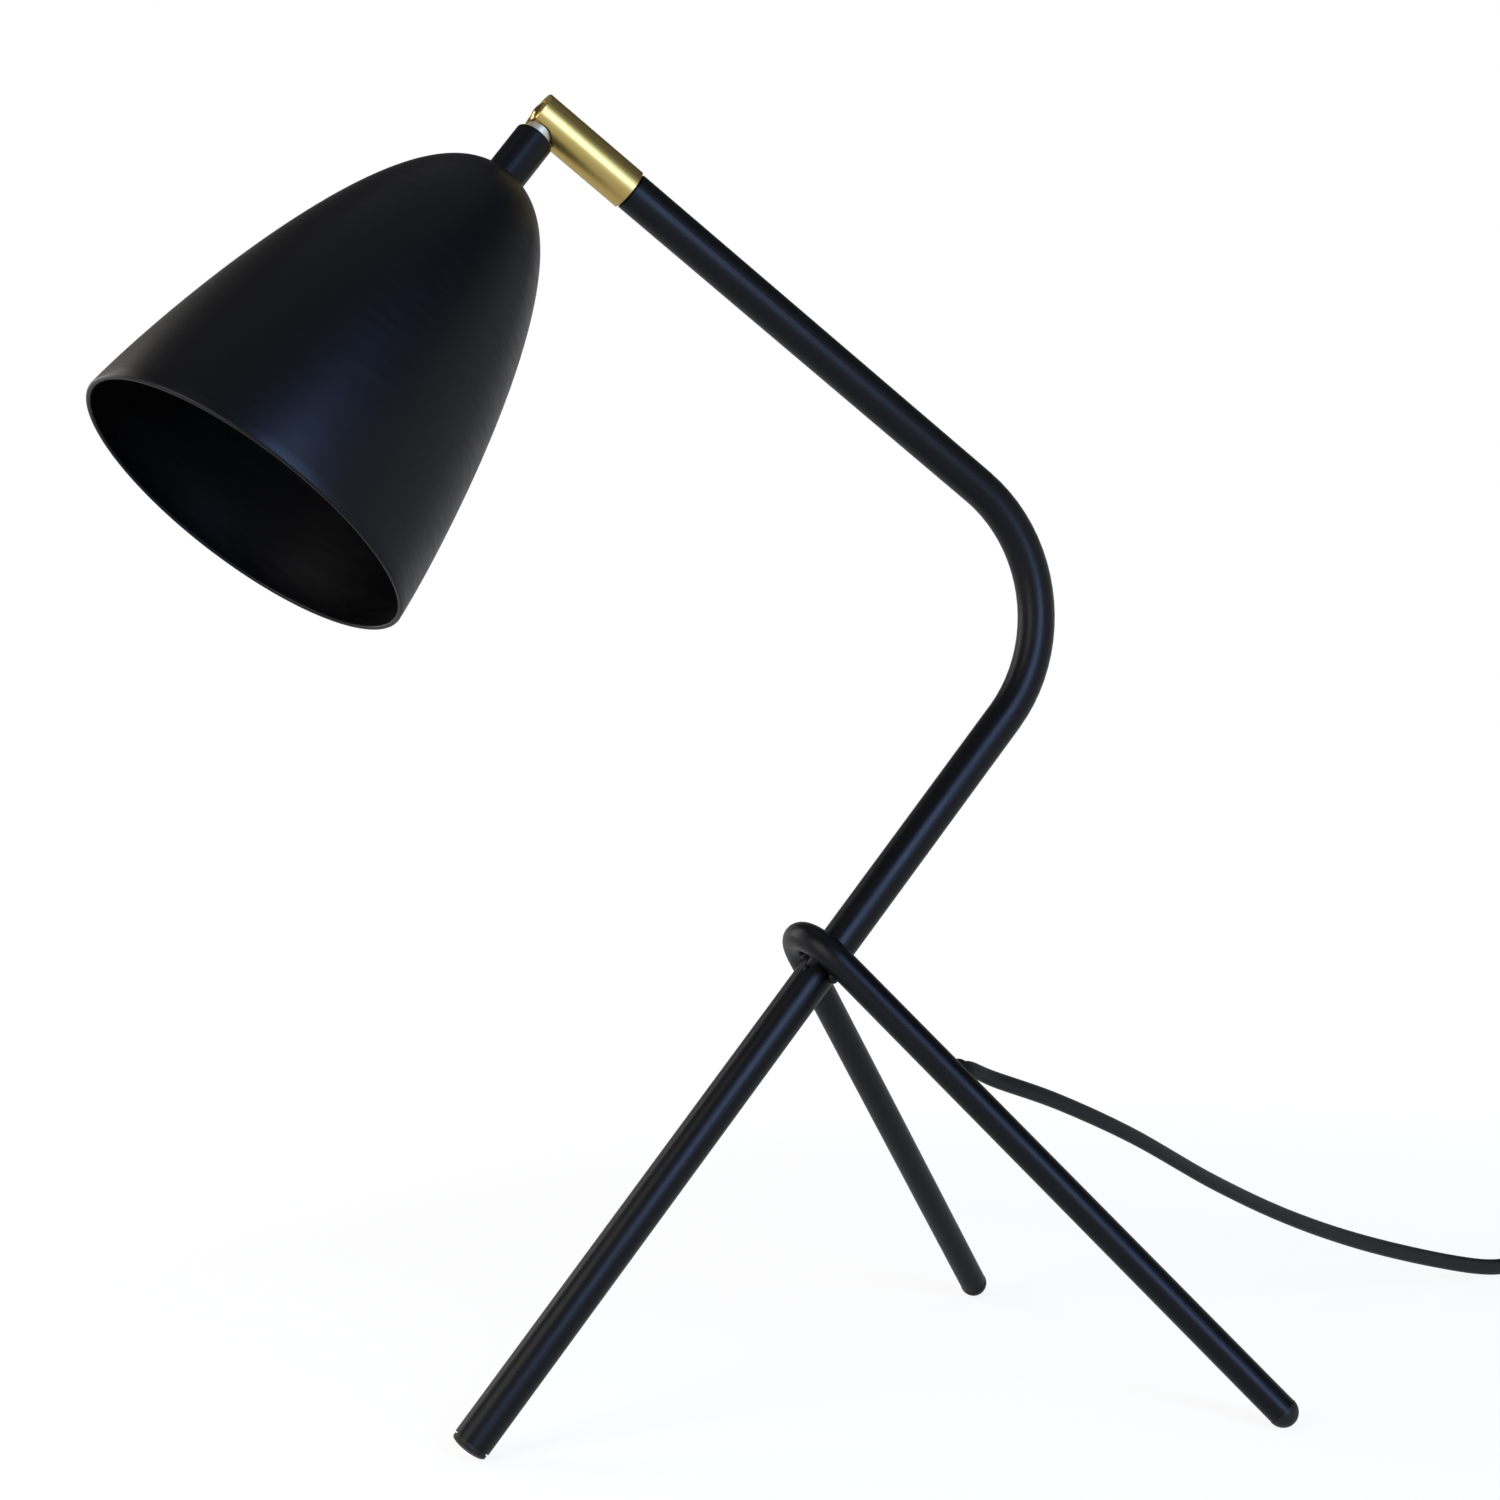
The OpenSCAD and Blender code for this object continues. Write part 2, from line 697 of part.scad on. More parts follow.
// Insulating core that carries the screw shell and the centre contact.
module holder_core() {
    core_r = holder_r - 2.4 - skirt_wall - fit;
    color([0.85, 0.84, 0.8]) on_shade() difference() {
        translate([0, 0, core_at]) cylinder(r = core_r, h = holder_end - core_at - 2);
        translate([0, 0, base_at - 2])
            cylinder(r = screw_r + shell_wall + fit, h = holder_len);
        translate([-core_r, core_r - 3, core_at - over]) cube([2 * core_r, 3 + over, 4]);
    }
}

module screw_shell() {
    color([0.8, 0.68, 0.4]) on_shade() translate([0, 0, base_at])
        tube(screw_r + shell_wall, screw_r, holder_end - base_at - 2);
}

// Brass tongue that the bulb's tip presses on.
module centre_contact() {
    color([0.8, 0.68, 0.4]) on_shade() translate([-2, -5, base_at - 2])
        cube([4, 10, 2 - tip_h]);
}

// ---- Bulb ----

module bulb_base() {
    color([0.75, 0.75, 0.77]) on_shade() translate([0, 0, base_at]) difference() {
        cylinder(d = base_d, h = base_len);
        translate([0, 0, 1]) cylinder(d = base_d - 1, h = base_len);
    }
}

module bulb_tip() {
    color([0.7, 0.7, 0.72]) on_shade() translate([0, 0, base_at - tip_h])
        cylinder(r1 = 2, r2 = 4, h = tip_h);
}

module bulb_housing() {
    color([0.9, 0.9, 0.88]) on_shade() translate([0, 0, base_at + base_len])
        rotate_extrude() polygon([
            [0, -4], [base_d / 2 - 0.6, -4], [base_d / 2 - 0.6, 0], [base_d / 2 + 1, 1],
            [bulb_d / 2 - 5.5, housing_len - 1], [bulb_d / 2 - 5.5, housing_len],
            [0, housing_len]
        ]);
}

module bulb_dome() {
    r = bulb_d / 2;
    cut = base_at + base_len + housing_len;
    color([0.95, 0.95, 0.93]) on_shade() difference() {
        translate([0, 0, dome_at]) sphere(r = r);
        translate([0, 0, dome_at]) sphere(r = r - 1);
        translate([-r, -r, cut - 2 * r]) cube(2 * r);
    }
}

// ---- Leads inside the lamp ----

// From the ball down the arm, through the weld and down the right leg to the outlet.
module arm_lead() {
    color([0.8, 0.8, 0.78]) {
        arm_line(lead_r, 0, ball_at - lead_gap);
        on_leg() sphere(r = lead_r);
        lead_crossing(lead_r);
        on_rear_leg(1) sphere(r = lead_r);
        on_rear_leg(1) round_bar(lead_r, outlet_down);
    }
}

// From the ball's centre through stud and nipple to the lampholder's terminals.
module head_lead() {
    color([0.8, 0.8, 0.78]) on_shade() translate([0, 0, lead_gap])
        cylinder(r = lead_r, h = core_at - lead_gap);
}

// Rubber sleeve in the leg's oval hole, with a collar outside.
module cord_grommet() {
    wide = cord_w + grommet_wall;
    thick = cord_t + grommet_wall;
    color([0.05, 0.05, 0.05]) on_outlet() difference() {
        union() {
            translate([0, 0, rod_in - 0.6]) oval_bar(wide, thick, rod_wall + 1.8);
            difference() {
                translate([0, 0, rod_in]) oval_bar(wide + 2, thick + 2, rod_wall + 1.2);
                rotate([0, 90, 0]) translate([0, 0, -wide])
                    cylinder(r = rod_r + fit, h = 2 * wide);
            }
        }
        oval_bar(cord_w + 2 * way, cord_t + 2 * way, 2 * rod_r);
    }
}

// ---- Cord, switch and plug ----

up = [0, 0, 1];

// Side vector of a cord that turns from one side vector to another between two shares.
function turned(a, b, from, to, t) = mix(a, b, max(0, min(1, (t - from) / (to - from))));

// The cord leaves the outlet with its wide side along the leg and slowly turns level.
module cord_lead() {
    steps = 3;
    total = steps * (len(lead_points) - 1);
    up_leg = [-0.49, -0.53, 0.7];
    lean = [-0.5, -0.11, 0.86];
    level = [1, 0, 0];
    sides = [for (i = [0 : total])
        let (t = i / total)
        t < 0.5 ? turned(up_leg, lean, 0, 0.3, t)
            : t < 0.7 ? turned(lean, up, 0.5, 0.7, t) : turned(up, level, 0.72, 0.9, t)];
    color([0.05, 0.05, 0.05]) flat_cord(smooth(lead_points, steps), sides);
}

// From the switch to the lower layer of the coil.
module cord_tail() {
    steps = 2;
    total = steps * (len(tail_points) - 1);
    sides = [for (i = [0 : total]) turned([-1, 0, 0], up, 0.15, 0.6, i / total)];
    color([0.05, 0.05, 0.05]) flat_cord(smooth(tail_points, steps), sides);
}

// From the upper layer of the coil to the plug.
module cord_end() {
    steps = 2;
    total = steps * (len(end_points) - 1);
    sides = [for (i = [0 : total]) turned(up, [1, 0, 0], 0.2, 0.7, i / total)];
    color([0.05, 0.05, 0.05]) flat_cord(smooth(end_points, steps), sides);
}

module cord_coil() {
    color([0.05, 0.05, 0.05]) translate(coil_pos) tube(coil_out, coil_in, coil_h);
}

// Oval way along +X from the origin, level on its wide side.
module cord_way(depth) {
    rotate([0, 90, 0]) rotate([0, 0, 90])
        oval_bar(cord_w + 2 * way, cord_t + 2 * way, depth);
}

// The cord's two ways into the switch.
module switch_ways() {
    for (turn = [0, 180])
        rotate([0, 0, turn]) translate([switch_len / 2 - stub, 0, switch_entry])
            cord_way(stub + over);
}

module on_posts() {
    for (x = [-post_x, post_x])
        translate([x, 0, 0]) children();
}

// Hollow of the switch between the heights from and to.
module switch_hollow(from, to) {
    translate([0, 0, from])
        round_box(switch_len - 2 * stub + 2, switch_w - 4, to - from, switch_round - 2);
}

module switch_base() {
    color([0.06, 0.06, 0.06]) on_switch() difference() {
        round_box(switch_len, switch_w, switch_entry, switch_round);
        difference() {
            switch_hollow(switch_floor, switch_entry + over);
            on_posts() cylinder(d = post_d, h = switch_h);
        }
        switch_ways();
        on_posts() translate([0, 0, -over]) {
            cylinder(d = screw_d + 0.3, h = switch_h);
            cylinder(d = screw_head_d + 0.4, h = screw_head_h + 0.3 + over);
        }
    }
}

module switch_cover() {
    roof = switch_h - switch_roof;
    rib_y = rocker_w / 2 + free;
    color([0.06, 0.06, 0.06]) on_switch() difference() {
        translate([0, 0, switch_entry])
            round_box(switch_len, switch_w, switch_h - switch_entry, switch_round);
        difference() {
            switch_hollow(switch_entry - over, roof);
            on_posts() cylinder(d = post_d, h = switch_h);
            for (side = [-1, 1])
                translate([-rib_t, side * (rib_y + rib_t / 2) - rib_t / 2, pivot_z - 3])
                    cube([2 * rib_t, rib_t, switch_h]);
        }
        translate([-rocker_r - free, -rib_y, switch_entry])
            cube([2 * (rocker_r + free), 2 * rib_y, switch_h]);
        translate([0, rib_y + rib_t + over, pivot_z]) rotate([90, 0, 0])
            cylinder(d = pivot_d + 2 * run, h = 2 * (rib_y + rib_t + over));
        on_posts() translate([0, 0, switch_entry - over])
            cylinder(d = screw_d + 2 * fit, h = roof - switch_entry);
        switch_ways();
    }
}

// Shallow V on top, round ends about the pivot, one half pressed down.
module switch_rocker() {
    rise = rocker_rise + rocker_r * tan(rocker_slope);
    color([0.08, 0.08, 0.08]) on_switch() translate([0, 0, pivot_z])
        rotate([0, rocker_slope, 0]) {
            rotate([90, 0, 0]) translate([0, 0, -rocker_w / 2]) intersection() {
                cylinder(r = rocker_r, h = rocker_w);
                linear_extrude(rocker_w) polygon([
                    [-rocker_r, -4], [rocker_r, -4], [rocker_r, rise],
                    [0, rocker_rise], [-rocker_r, rise]
                ]);
            }
            translate([0, rocker_w / 2 + pivot_len, 0]) rotate([90, 0, 0])
                cylinder(d = pivot_d, h = rocker_w + 2 * pivot_len);
        }
}

// Two brass blades that stand on the floor of the base under the rocker.
module switch_contacts() {
    color([0.8, 0.68, 0.4]) on_switch() for (x = [-5, 5])
        translate([x - 0.5, -3, switch_floor]) cube([1, 6, 3.4]);
}

module switch_screws() {
    seat = screw_head_h + 0.3;
    color([0.6, 0.6, 0.62]) on_switch() on_posts() {
        translate([0, 0, 0.3]) cylinder(d = screw_head_d, h = screw_head_h);
        translate([0, 0, seat]) cylinder(d = screw_d, h = switch_h - switch_roof - seat - 2);
    }
}

// Half of the plug's width at x behind its front.
function plug_side(x) =
    let (s = max(0, min(1, (x - 6) / 17)))
    plug_neck / 2 + (plug_w - plug_neck) / 2 * s * s * (3 - 2 * s);

// Origins on the plug's two pins, pin_seat deep in its face, +Z outward.
module on_pins() {
    for (side = [-1, 1])
        translate([plug_len - pin_seat, side * pin_gap / 2, 0]) rotate([0, 90, 0]) children();
}

// Flat two-pin plug: its plan, side and front outlines cut from one block.
module plug_shell() {
    steps = 12;
    r = plug_t / 2;
    neck = r - 2;
    edge = 2.2;
    plan = [for (i = [0 : steps]) [23 * i / steps, plug_side(23 * i / steps)]];
    intersection() {
        translate([0, 0, -r]) linear_extrude(plug_t) polygon(concat(
            plan, [[plug_len, plug_w / 2], [plug_len, -plug_w / 2]],
            [for (i = [steps : -1 : 0]) [plan[i][0], -plan[i][1]]]
        ));
        translate([0, plug_w, 0]) rotate([90, 0, 0]) linear_extrude(2 * plug_w) polygon([
            [0, -neck], [6, -neck], [22, -r], [plug_len, -r],
            [plug_len, r], [22, r], [6, neck], [0, neck]
        ]);
        rotate([90, 0, 90]) linear_extrude(plug_len) polygon([
            [-plug_w / 2, -edge], [-plug_flat / 2, -r], [plug_flat / 2, -r],
            [plug_w / 2, -edge], [plug_w / 2, edge], [plug_flat / 2, r],
            [-plug_flat / 2, r], [-plug_w / 2, edge]
        ]);
    }
}

module plug_body() {
    color([0.05, 0.05, 0.05]) on_plug() difference() {
        plug_shell();
        translate([-over, 0, 0]) cord_way(stub + over + 0.1);
        on_pins() cylinder(d = pin_shank_d + 2 * fit, h = pin_seat + over);
    }
}

// Thin where they are moulded in, full size outside, with round tips.
module plug_pins() {
    color([0.78, 0.78, 0.8]) on_plug() on_pins() {
        cylinder(d = pin_shank_d, h = pin_seat);
        translate([0, 0, pin_seat]) round_bar(pin_d / 2, pin_len - pin_d / 2);
    }
}

arm_tube();
rear_legs();
hub_welds();
front_foot();
rear_foot_right();
rear_foot_left();
tube_bush();
knuckle_sleeve();
knuckle_spring();
ball_seat();
ball_stud();
stud_clip();
stem();
shade();
shade_nipple();
shade_washer();
lock_nut();
holder_cap();
holder_core();
holder_skirt();
screw_shell();
centre_contact();
bulb_base();
bulb_tip();
bulb_housing();
bulb_dome();
arm_lead();
head_lead();
cord_grommet();
cord_lead();
switch_base();
switch_cover();
switch_rocker();
switch_contacts();
switch_screws();
cord_tail();
cord_coil();
cord_end();
plug_body();
plug_pins();
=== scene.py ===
# %% [markdown]
# # A tripod table lamp with a brass knuckle
# The lamp stands on one bent tube and a hairpin of thinner tube. Its spun shade hangs
# from a ball that sits in a brass sleeve. The measured model comes first: every piece of
# it is already at its real place and size, in metres, so nothing here is fitted by eye.
# What is left to make is what the eye reads: round forms without flats, the finishes,
# the flex, and the light.

# %% Load the measured lamp
import math

import bpy
from mathutils import Matrix, Vector


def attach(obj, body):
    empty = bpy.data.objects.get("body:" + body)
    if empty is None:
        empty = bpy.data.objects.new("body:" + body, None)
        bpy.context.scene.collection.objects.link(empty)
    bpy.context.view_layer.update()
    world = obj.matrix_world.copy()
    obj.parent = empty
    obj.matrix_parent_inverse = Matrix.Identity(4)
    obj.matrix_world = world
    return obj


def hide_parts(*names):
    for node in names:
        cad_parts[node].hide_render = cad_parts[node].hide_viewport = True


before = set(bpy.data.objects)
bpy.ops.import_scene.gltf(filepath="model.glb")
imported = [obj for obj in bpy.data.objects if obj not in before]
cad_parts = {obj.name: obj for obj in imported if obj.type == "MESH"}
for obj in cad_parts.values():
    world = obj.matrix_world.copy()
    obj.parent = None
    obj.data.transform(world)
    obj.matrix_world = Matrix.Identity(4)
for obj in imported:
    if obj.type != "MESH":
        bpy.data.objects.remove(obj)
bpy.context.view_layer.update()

# %% [markdown]
# ## The camera
# A photograph fixes a camera by what it shows: where the feet stand, where the tubes
# cross, and how the bend and the knuckle sit against each other. The numbers below come
# from fitting those points. The camera stands a little above the lamp's middle, on its
# right, and is tipped by two degrees, which is why the lamp seems to lean. It could be
# placed by eye in a window, but fitted numbers give the same picture every time.

# %% Place the camera
AZIMUTH, ELEVATION, ROLL = math.radians(66.16), math.radians(1.18), math.radians(-2.054)
forward = Vector((-math.sin(AZIMUTH) * math.cos(ELEVATION),
                  math.cos(AZIMUTH) * math.cos(ELEVATION), -math.sin(ELEVATION)))
level_right = Vector((math.cos(AZIMUTH), math.sin(AZIMUTH), 0))
level_up = level_right.cross(forward)
right = level_right * math.cos(ROLL) + level_up * math.sin(ROLL)
up = level_up * math.cos(ROLL) - level_right * math.sin(ROLL)
aim = level_right * -0.021004 + Vector((0, 0.0603, 0.219482))
DISTANCE = 0.818943
eye = aim - forward * DISTANCE

SENSOR_MM = 36
FOCAL_PER_WIDTH = 2448.933 / 1500
lens = bpy.data.cameras.new("photo_camera")
lens.sensor_width, lens.lens = SENSOR_MM, FOCAL_PER_WIDTH * SENSOR_MM
lens.clip_start, lens.clip_end = 0.01, 30
camera = bpy.data.objects.new("photo_camera", lens)
bpy.context.scene.collection.objects.link(camera)
turn = Matrix((right, up, -forward)).transposed().to_4x4()
camera.matrix_world = Matrix.Translation(eye) @ turn
bpy.context.scene.camera = camera
print("camera at", [round(x, 3) for x in eye], "lens", round(lens.lens, 2))

# %% [markdown]
# ## The flex
# The flex is a flat two-core cord of 6 by 3.6 mm, in black PVC. It comes out of a small
# collar inside the right rear leg, falls in a long easy curve and runs along the table to
# a switch. What the photograph doesn't show of it is wound into a flat coil beside the
# plug. A curve with a bevel can't keep a flat cord from twisting, so the cord is swept
# here: each ring of the tube knows which way the wide side lies.

# %% Points of a smooth route
# Places along the route are in millimetres, and sizes of the cord in metres.
CORD_WIDE, CORD_THICK = 0.0060, 0.0036
SWITCH_AT, SWITCH_AIM = Vector((-23, 430, 0)), math.radians(90)
SWITCH_HALF, SWITCH_ENTRY = 31, 6
PLUG_AT, PLUG_AIM = Vector((-15.5, 576, 6.8)), math.radians(86)


def on_switch(x):
    """A point on the cord's line through the switch, x millimetres from its middle."""
    along = Vector((math.cos(SWITCH_AIM), math.sin(SWITCH_AIM), 0))
    return SWITCH_AT + x * along + Vector((0, 0, SWITCH_ENTRY))


def on_plug(x):
    """A point on the plug's own line, x millimetres in front of its rear face."""
    return PLUG_AT + x * Vector((math.cos(PLUG_AIM), math.sin(PLUG_AIM), 0))


def smooth(points, steps):
    """A curve that passes through every point, with steps short stretches between them."""
    route, last = [], len(points) - 1
    for i in range(last):
        a, b = points[max(i - 1, 0)], points[i]
        c, d = points[i + 1], points[min(i + 2, last)]
        for k in range(steps):
            s = k / steps
            route.append(0.5 * (2 * b + (c - a) * s + (2 * a - 5 * b + 4 * c - d) * s * s
                                + (3 * b - a - 3 * c + d) * s ** 3))
    return route + [points[last].copy()]


def route_length(route):
    """The length of a route, added up over its short stretches."""
    return sum((b - a).length for a, b in zip(route, route[1:]))


lead_points = [Vector(p) for p in (
    (36.4, 91.5, 111), (34.1, 95, 112.2), (32.2, 99.4, 111.6), (29.8, 109, 107.2),
    (24.5, 136, 96.4), (17, 170, 80), (8, 209, 58), (-1, 247, 39.4), (-9, 286, 23.8),
    (-15.5, 328, 10.3), (-18.5, 356, 3.7), (-21.3, 374, 4.2))]
lead_points += [on_switch(-SWITCH_HALF - past) for past in (11, 3, -9)]
lead_route = [p / 1000 for p in smooth(lead_points, 10)]
print("outlet to switch:", round(route_length(lead_route), 3), "m")

# %% [markdown]
# ### The coil of spare flex
# The coil has six turns in two layers. The cord stands on its narrow edge in it, as it
# does when it is wound round a hand: the lower layer spirals inwards, the cord climbs by
# its own width, and the upper layer spirals out again. A screw modifier could wind a
# plain helix, but not one that goes in and out again, so its points are worked out.

# %% Route through the coil to the plug
COIL_AT = Vector((-62, 520, 0))
COIL_START, COIL_TURN = 4, 2149
COIL_OUTER, COIL_DROP = 38.5, 10.8
LAYER_LOW, LAYER_STEP = 3.1, 6.1
CLIMB_START, CLIMB_SHARE = 0.46, 0.08

tail_in = [on_switch(SWITCH_HALF + past) for past in (-9, 3, 10)]
tail_in += [Vector(p) for p in ((-23, 484, 3.8), (-23, 504, 3.1))]
tail_out = [Vector(p) for p in ((-22.6, 525.2, 9.2), (-20.2, 541, 8), (-18.1, 557, 7))]
tail_out += [on_plug(-4), on_plug(9)]


def wound(t):
    """A point of the coil at the share t of its turning, in millimetres."""
    angle = math.radians(COIL_START + COIL_TURN * t)
    radius = COIL_OUTER - COIL_DROP * (1 - abs(1 - 2 * t))
    climb = min(max((t - CLIMB_START) / CLIMB_SHARE, 0), 1)
    lift = LAYER_LOW + LAYER_STEP * climb * climb * (3 - 2 * climb)
    return COIL_AT + Vector((radius * math.cos(angle), radius * math.sin(angle), lift))


COIL_STEPS = 6 * 24
coil_points = [wound(i / COIL_STEPS) for i in range(COIL_STEPS + 1)]
tail_route = [p / 1000 for p in smooth(tail_in + coil_points, 4)[:-1]]
tail_route += [p / 1000 for p in smooth(coil_points[-2:] + tail_out, 8)[8:]]
print("switch to plug:", round(route_length(tail_route), 3), "m")

# %% Sweep a flat cord along a route
ACROSS = 20
SQUARENESS = 2.6


def turned(a, b, start, end, t):
    """The wide side's direction, which turns from a to b between two shares of the way."""
    return a.lerp(b, min(max((t - start) / (end - start), 0), 1))


def oval_ring(at, ahead, wide_side, half_wide, half_thick):
    """A ring of points round a place: a flat oval that stands square to the way ahead."""
    thin = wide_side.cross(ahead).normalized()
    wide, ring = ahead.cross(thin), []
    for k in range(ACROSS):
        c, s = math.cos(math.tau * k / ACROSS), math.sin(math.tau * k / ACROSS)
        flat = 1 / (abs(c) ** SQUARENESS + abs(s) ** SQUARENESS) ** (1 / SQUARENESS)
        ring.append(at + wide * c * flat * half_wide + thin * s * flat * half_thick)
    return ring


def skin(name, points):
    """Joins rings of points that follow each other into a closed tube."""
    rings, faces = len(points) // ACROSS, []
    for i in range(rings - 1):
        for k in range(ACROSS):
            a, b = i * ACROSS + k, i * ACROSS + (k + 1) % ACROSS
            faces.append((a, b, b + ACROSS, a + ACROSS))
    faces.append(tuple(range(ACROSS - 1, -1, -1)))
    faces.append(tuple(range((rings - 1) * ACROSS, rings * ACROSS)))
    mesh = bpy.data.meshes.new(name)
    mesh.from_pydata(points, [], faces)
    mesh.validate()
    tube = bpy.data.objects.new(name, mesh)
    bpy.context.scene.collection.objects.link(tube)
    print(name, "has", len(mesh.polygons), "faces")
    return tube


def flat_cord(name, route, wide_side):
    """A closed tube with a flat oval section whose wide side follows wide_side(share)."""
    points, last = [], len(route) - 1
    for i, at in enumerate(route):
        ahead = (route[min(i + 1, last)] - route[max(i - 1, 0)]).normalized()
        points += oval_ring(at, ahead, wide_side(i / last), CORD_WIDE / 2, CORD_THICK / 2)
    cord = skin(name, points)
    cord.data.shade_smooth()
    return cord


UPRIGHT, LEVEL = Vector((0, 0, 1)), Vector((1, 0, 0))
ALONG_LEG, LEANING = Vector((-0.49, -0.53, 0.7)), Vector((-0.5, -0.11, 0.86))


def lead_side(t):
    """The wide side between the leg and the switch: along the leg, upright, then level."""
    if t < 0.5:
        return turned(ALONG_LEG, LEANING, 0, 0.3, t)
    if t < 0.7:
        return turned(LEANING, UPRIGHT, 0.5, 0.7, t)
    return turned(UPRIGHT, LEVEL, 0.72, 0.9, t)


def tail_side(t):
    """The wide side after the switch: level, upright through the coil, level again."""
    if t < 0.9:
        return turned(-LEVEL, UPRIGHT, 0.01, 0.06, t)
    return turned(UPRIGHT, LEVEL, 0.945, 0.985, t)


flex_lead = flat_cord("flex_lead", lead_route, lead_side)
flex_tail = flat_cord("flex_tail", tail_route, tail_side)

# %% [markdown]
# ### What the flex belongs to
# Each length of flex stands in place of its plain solids, which are hidden, and rides on
# the lamp's frame.

# %% Put both lengths of flex on the frame
for flex, nodes in ((flex_lead, ["cord_lead"]),
                    (flex_tail, ["cord_tail", "cord_coil", "cord_end"])):
    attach(flex, "base_frame")
    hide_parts(*nodes)
print("flex in all:", round(route_length(lead_route) + route_length(tail_route), 2), "m")

# %% [markdown]
# ## The spun shade
# A spinner presses a turning steel disc over a wooden form, so the real shade is round
# in every section and its bell has no flats. The measured shade has a narrow band for
# each step of its outline, and a low highlight shows those bands. The bell is made again
# here from one circle: the rim of it is extruded and scaled, again and again, down the
# outside, round the rolled lip and up the inside.

# %% Grow a form from rings
BALL = Vector((0, -0.024985, 0.422858))
SHADE_X = Vector((0.994338, 0.064542, 0.084418))
SHADE_Z = Vector((0.106118, -0.644686, -0.757046))
shade_frame = Matrix((SHADE_X, SHADE_Z.cross(SHADE_X), SHADE_Z)).transposed()


def settle(name, place):
    """Names the new piece, sets it in its place and leaves its own origin unturned."""
    piece = bpy.context.object
    piece.name = piece.data.name = name
    piece.matrix_world = place @ piece.matrix_world
    bpy.ops.object.transform_apply(location=True, rotation=True, scale=True)
    return piece


def grow(name, stations, sides, place):
    """Extrudes a circle through stations of (half width, half depth, height) in metres."""
    bpy.ops.object.select_all(action="DESELECT")
    bpy.ops.mesh.primitive_circle_add(vertices=sides, radius=1, location=(0, 0, 0),
                                      fill_type="NOTHING")
    bpy.ops.object.mode_set(mode="EDIT")
    bpy.ops.mesh.select_all(action="SELECT")
    wide, deep, height = stations[0]
    bpy.ops.transform.resize(value=(wide, deep, 1))
    bpy.ops.transform.translate(value=(0, 0, height))
    for w, d, z in stations[1:]:
        bpy.ops.mesh.extrude_region_move(TRANSFORM_OT_translate={"value": (0, 0, z - height)})
        bpy.ops.transform.resize(value=(w / wide, d / deep, 1))
        wide, deep, height = w, d, z
    bpy.ops.mesh.select_all(action="SELECT")
    bpy.ops.mesh.remove_doubles(threshold=0.000001)
    bpy.ops.mesh.normals_make_consistent(inside=False)
    bpy.ops.object.mode_set(mode="OBJECT")
    piece = settle(name, place)
    bpy.ops.object.shade_smooth_by_angle(angle=math.radians(35))
    print(name, "has", len(piece.data.polygons), "faces")
    return piece


def stands_for(piece, body, slot, *nodes):
    """Makes a piece ride on a body, in place of the measured nodes it stands for."""
    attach(piece, body)
    if nodes:
        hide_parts(*nodes)


print("the shade points along", [round(x, 3) for x in SHADE_Z])

# %% The bell's outline
MOUTH_R, DEPTH, WALL, LIP_R = 0.056, 0.1387, 0.001, 0.0008
LAND_R, BORE_R, CROWN_DROP = 0.0065, 0.00505, 0.0269
TAPER, SHOULDER, CROWDING = 1.25, 2.36, 2.2
SIDES = 192


def bell(share, radius):
    """Radius of the bell at a share of its depth, full below the crown."""
    return radius * (1 - (1 - share) ** TAPER) ** (1 / SHOULDER)


def crown(radius, mouth):
    """The share of the depth at which the bell is as wide as radius."""
    return 1 - (1 - (radius / mouth) ** SHOULDER) ** (1 / TAPER)


def outline(mouth, depth, start, steps):
    """Points from the land to the mouth, closer together where the crown curves most."""
    first = crown(LAND_R, mouth)
    shares = [first + (1 - first) * (i / steps) ** CROWDING for i in range(steps + 1)]
    return [(bell(u, mouth), start + u * depth) for u in shares]


outside = [p for p in outline(MOUTH_R, DEPTH, 0, 72) if p[1] < DEPTH - LIP_R]
inside = [p for p in outline(MOUTH_R - WALL, DEPTH - WALL, WALL, 56)
          if p[1] < DEPTH - 2.2 * LIP_R]
lip = [(MOUTH_R - LIP_R + LIP_R * math.cos(a), DEPTH - LIP_R + LIP_R * math.sin(a))
       for a in [math.radians(22.5 * i) for i in range(10)]]
bore_top, bore_low = (BORE_R, outside[0][1]), (BORE_R, inside[0][1])
profile = [bore_top] + outside + lip + inside[::-1] + [bore_low, bore_top]
peak = CROWN_DROP - outside[0][1]
spun_shade = grow("spun_shade", [(r, r, peak + z) for r, z in profile], SIDES,
                  Matrix.Translation(BALL) @ shade_frame.to_4x4())
stands_for(spun_shade, "shade_head", "matt_black_shade", "shade")

# %% [markdown]
# ## Weld beads at the crossing
# The hairpin is welded to the main tube on both sides, where the two tubes touch. A bead
# is laid as a row of small overlapping pools, so it is rippled, and powder coat rounds
# it off but doesn't fill it. It could be sculpted, but a ball is enough to start from:
# every second ring of it is swollen and pushed a little aside, it is drawn out long, one
# round of subdivision melts the steps, and it is laid in the valley between the tubes.

# %% A rippled bead
BEAD_RINGS, RIPPLES = 26, 12


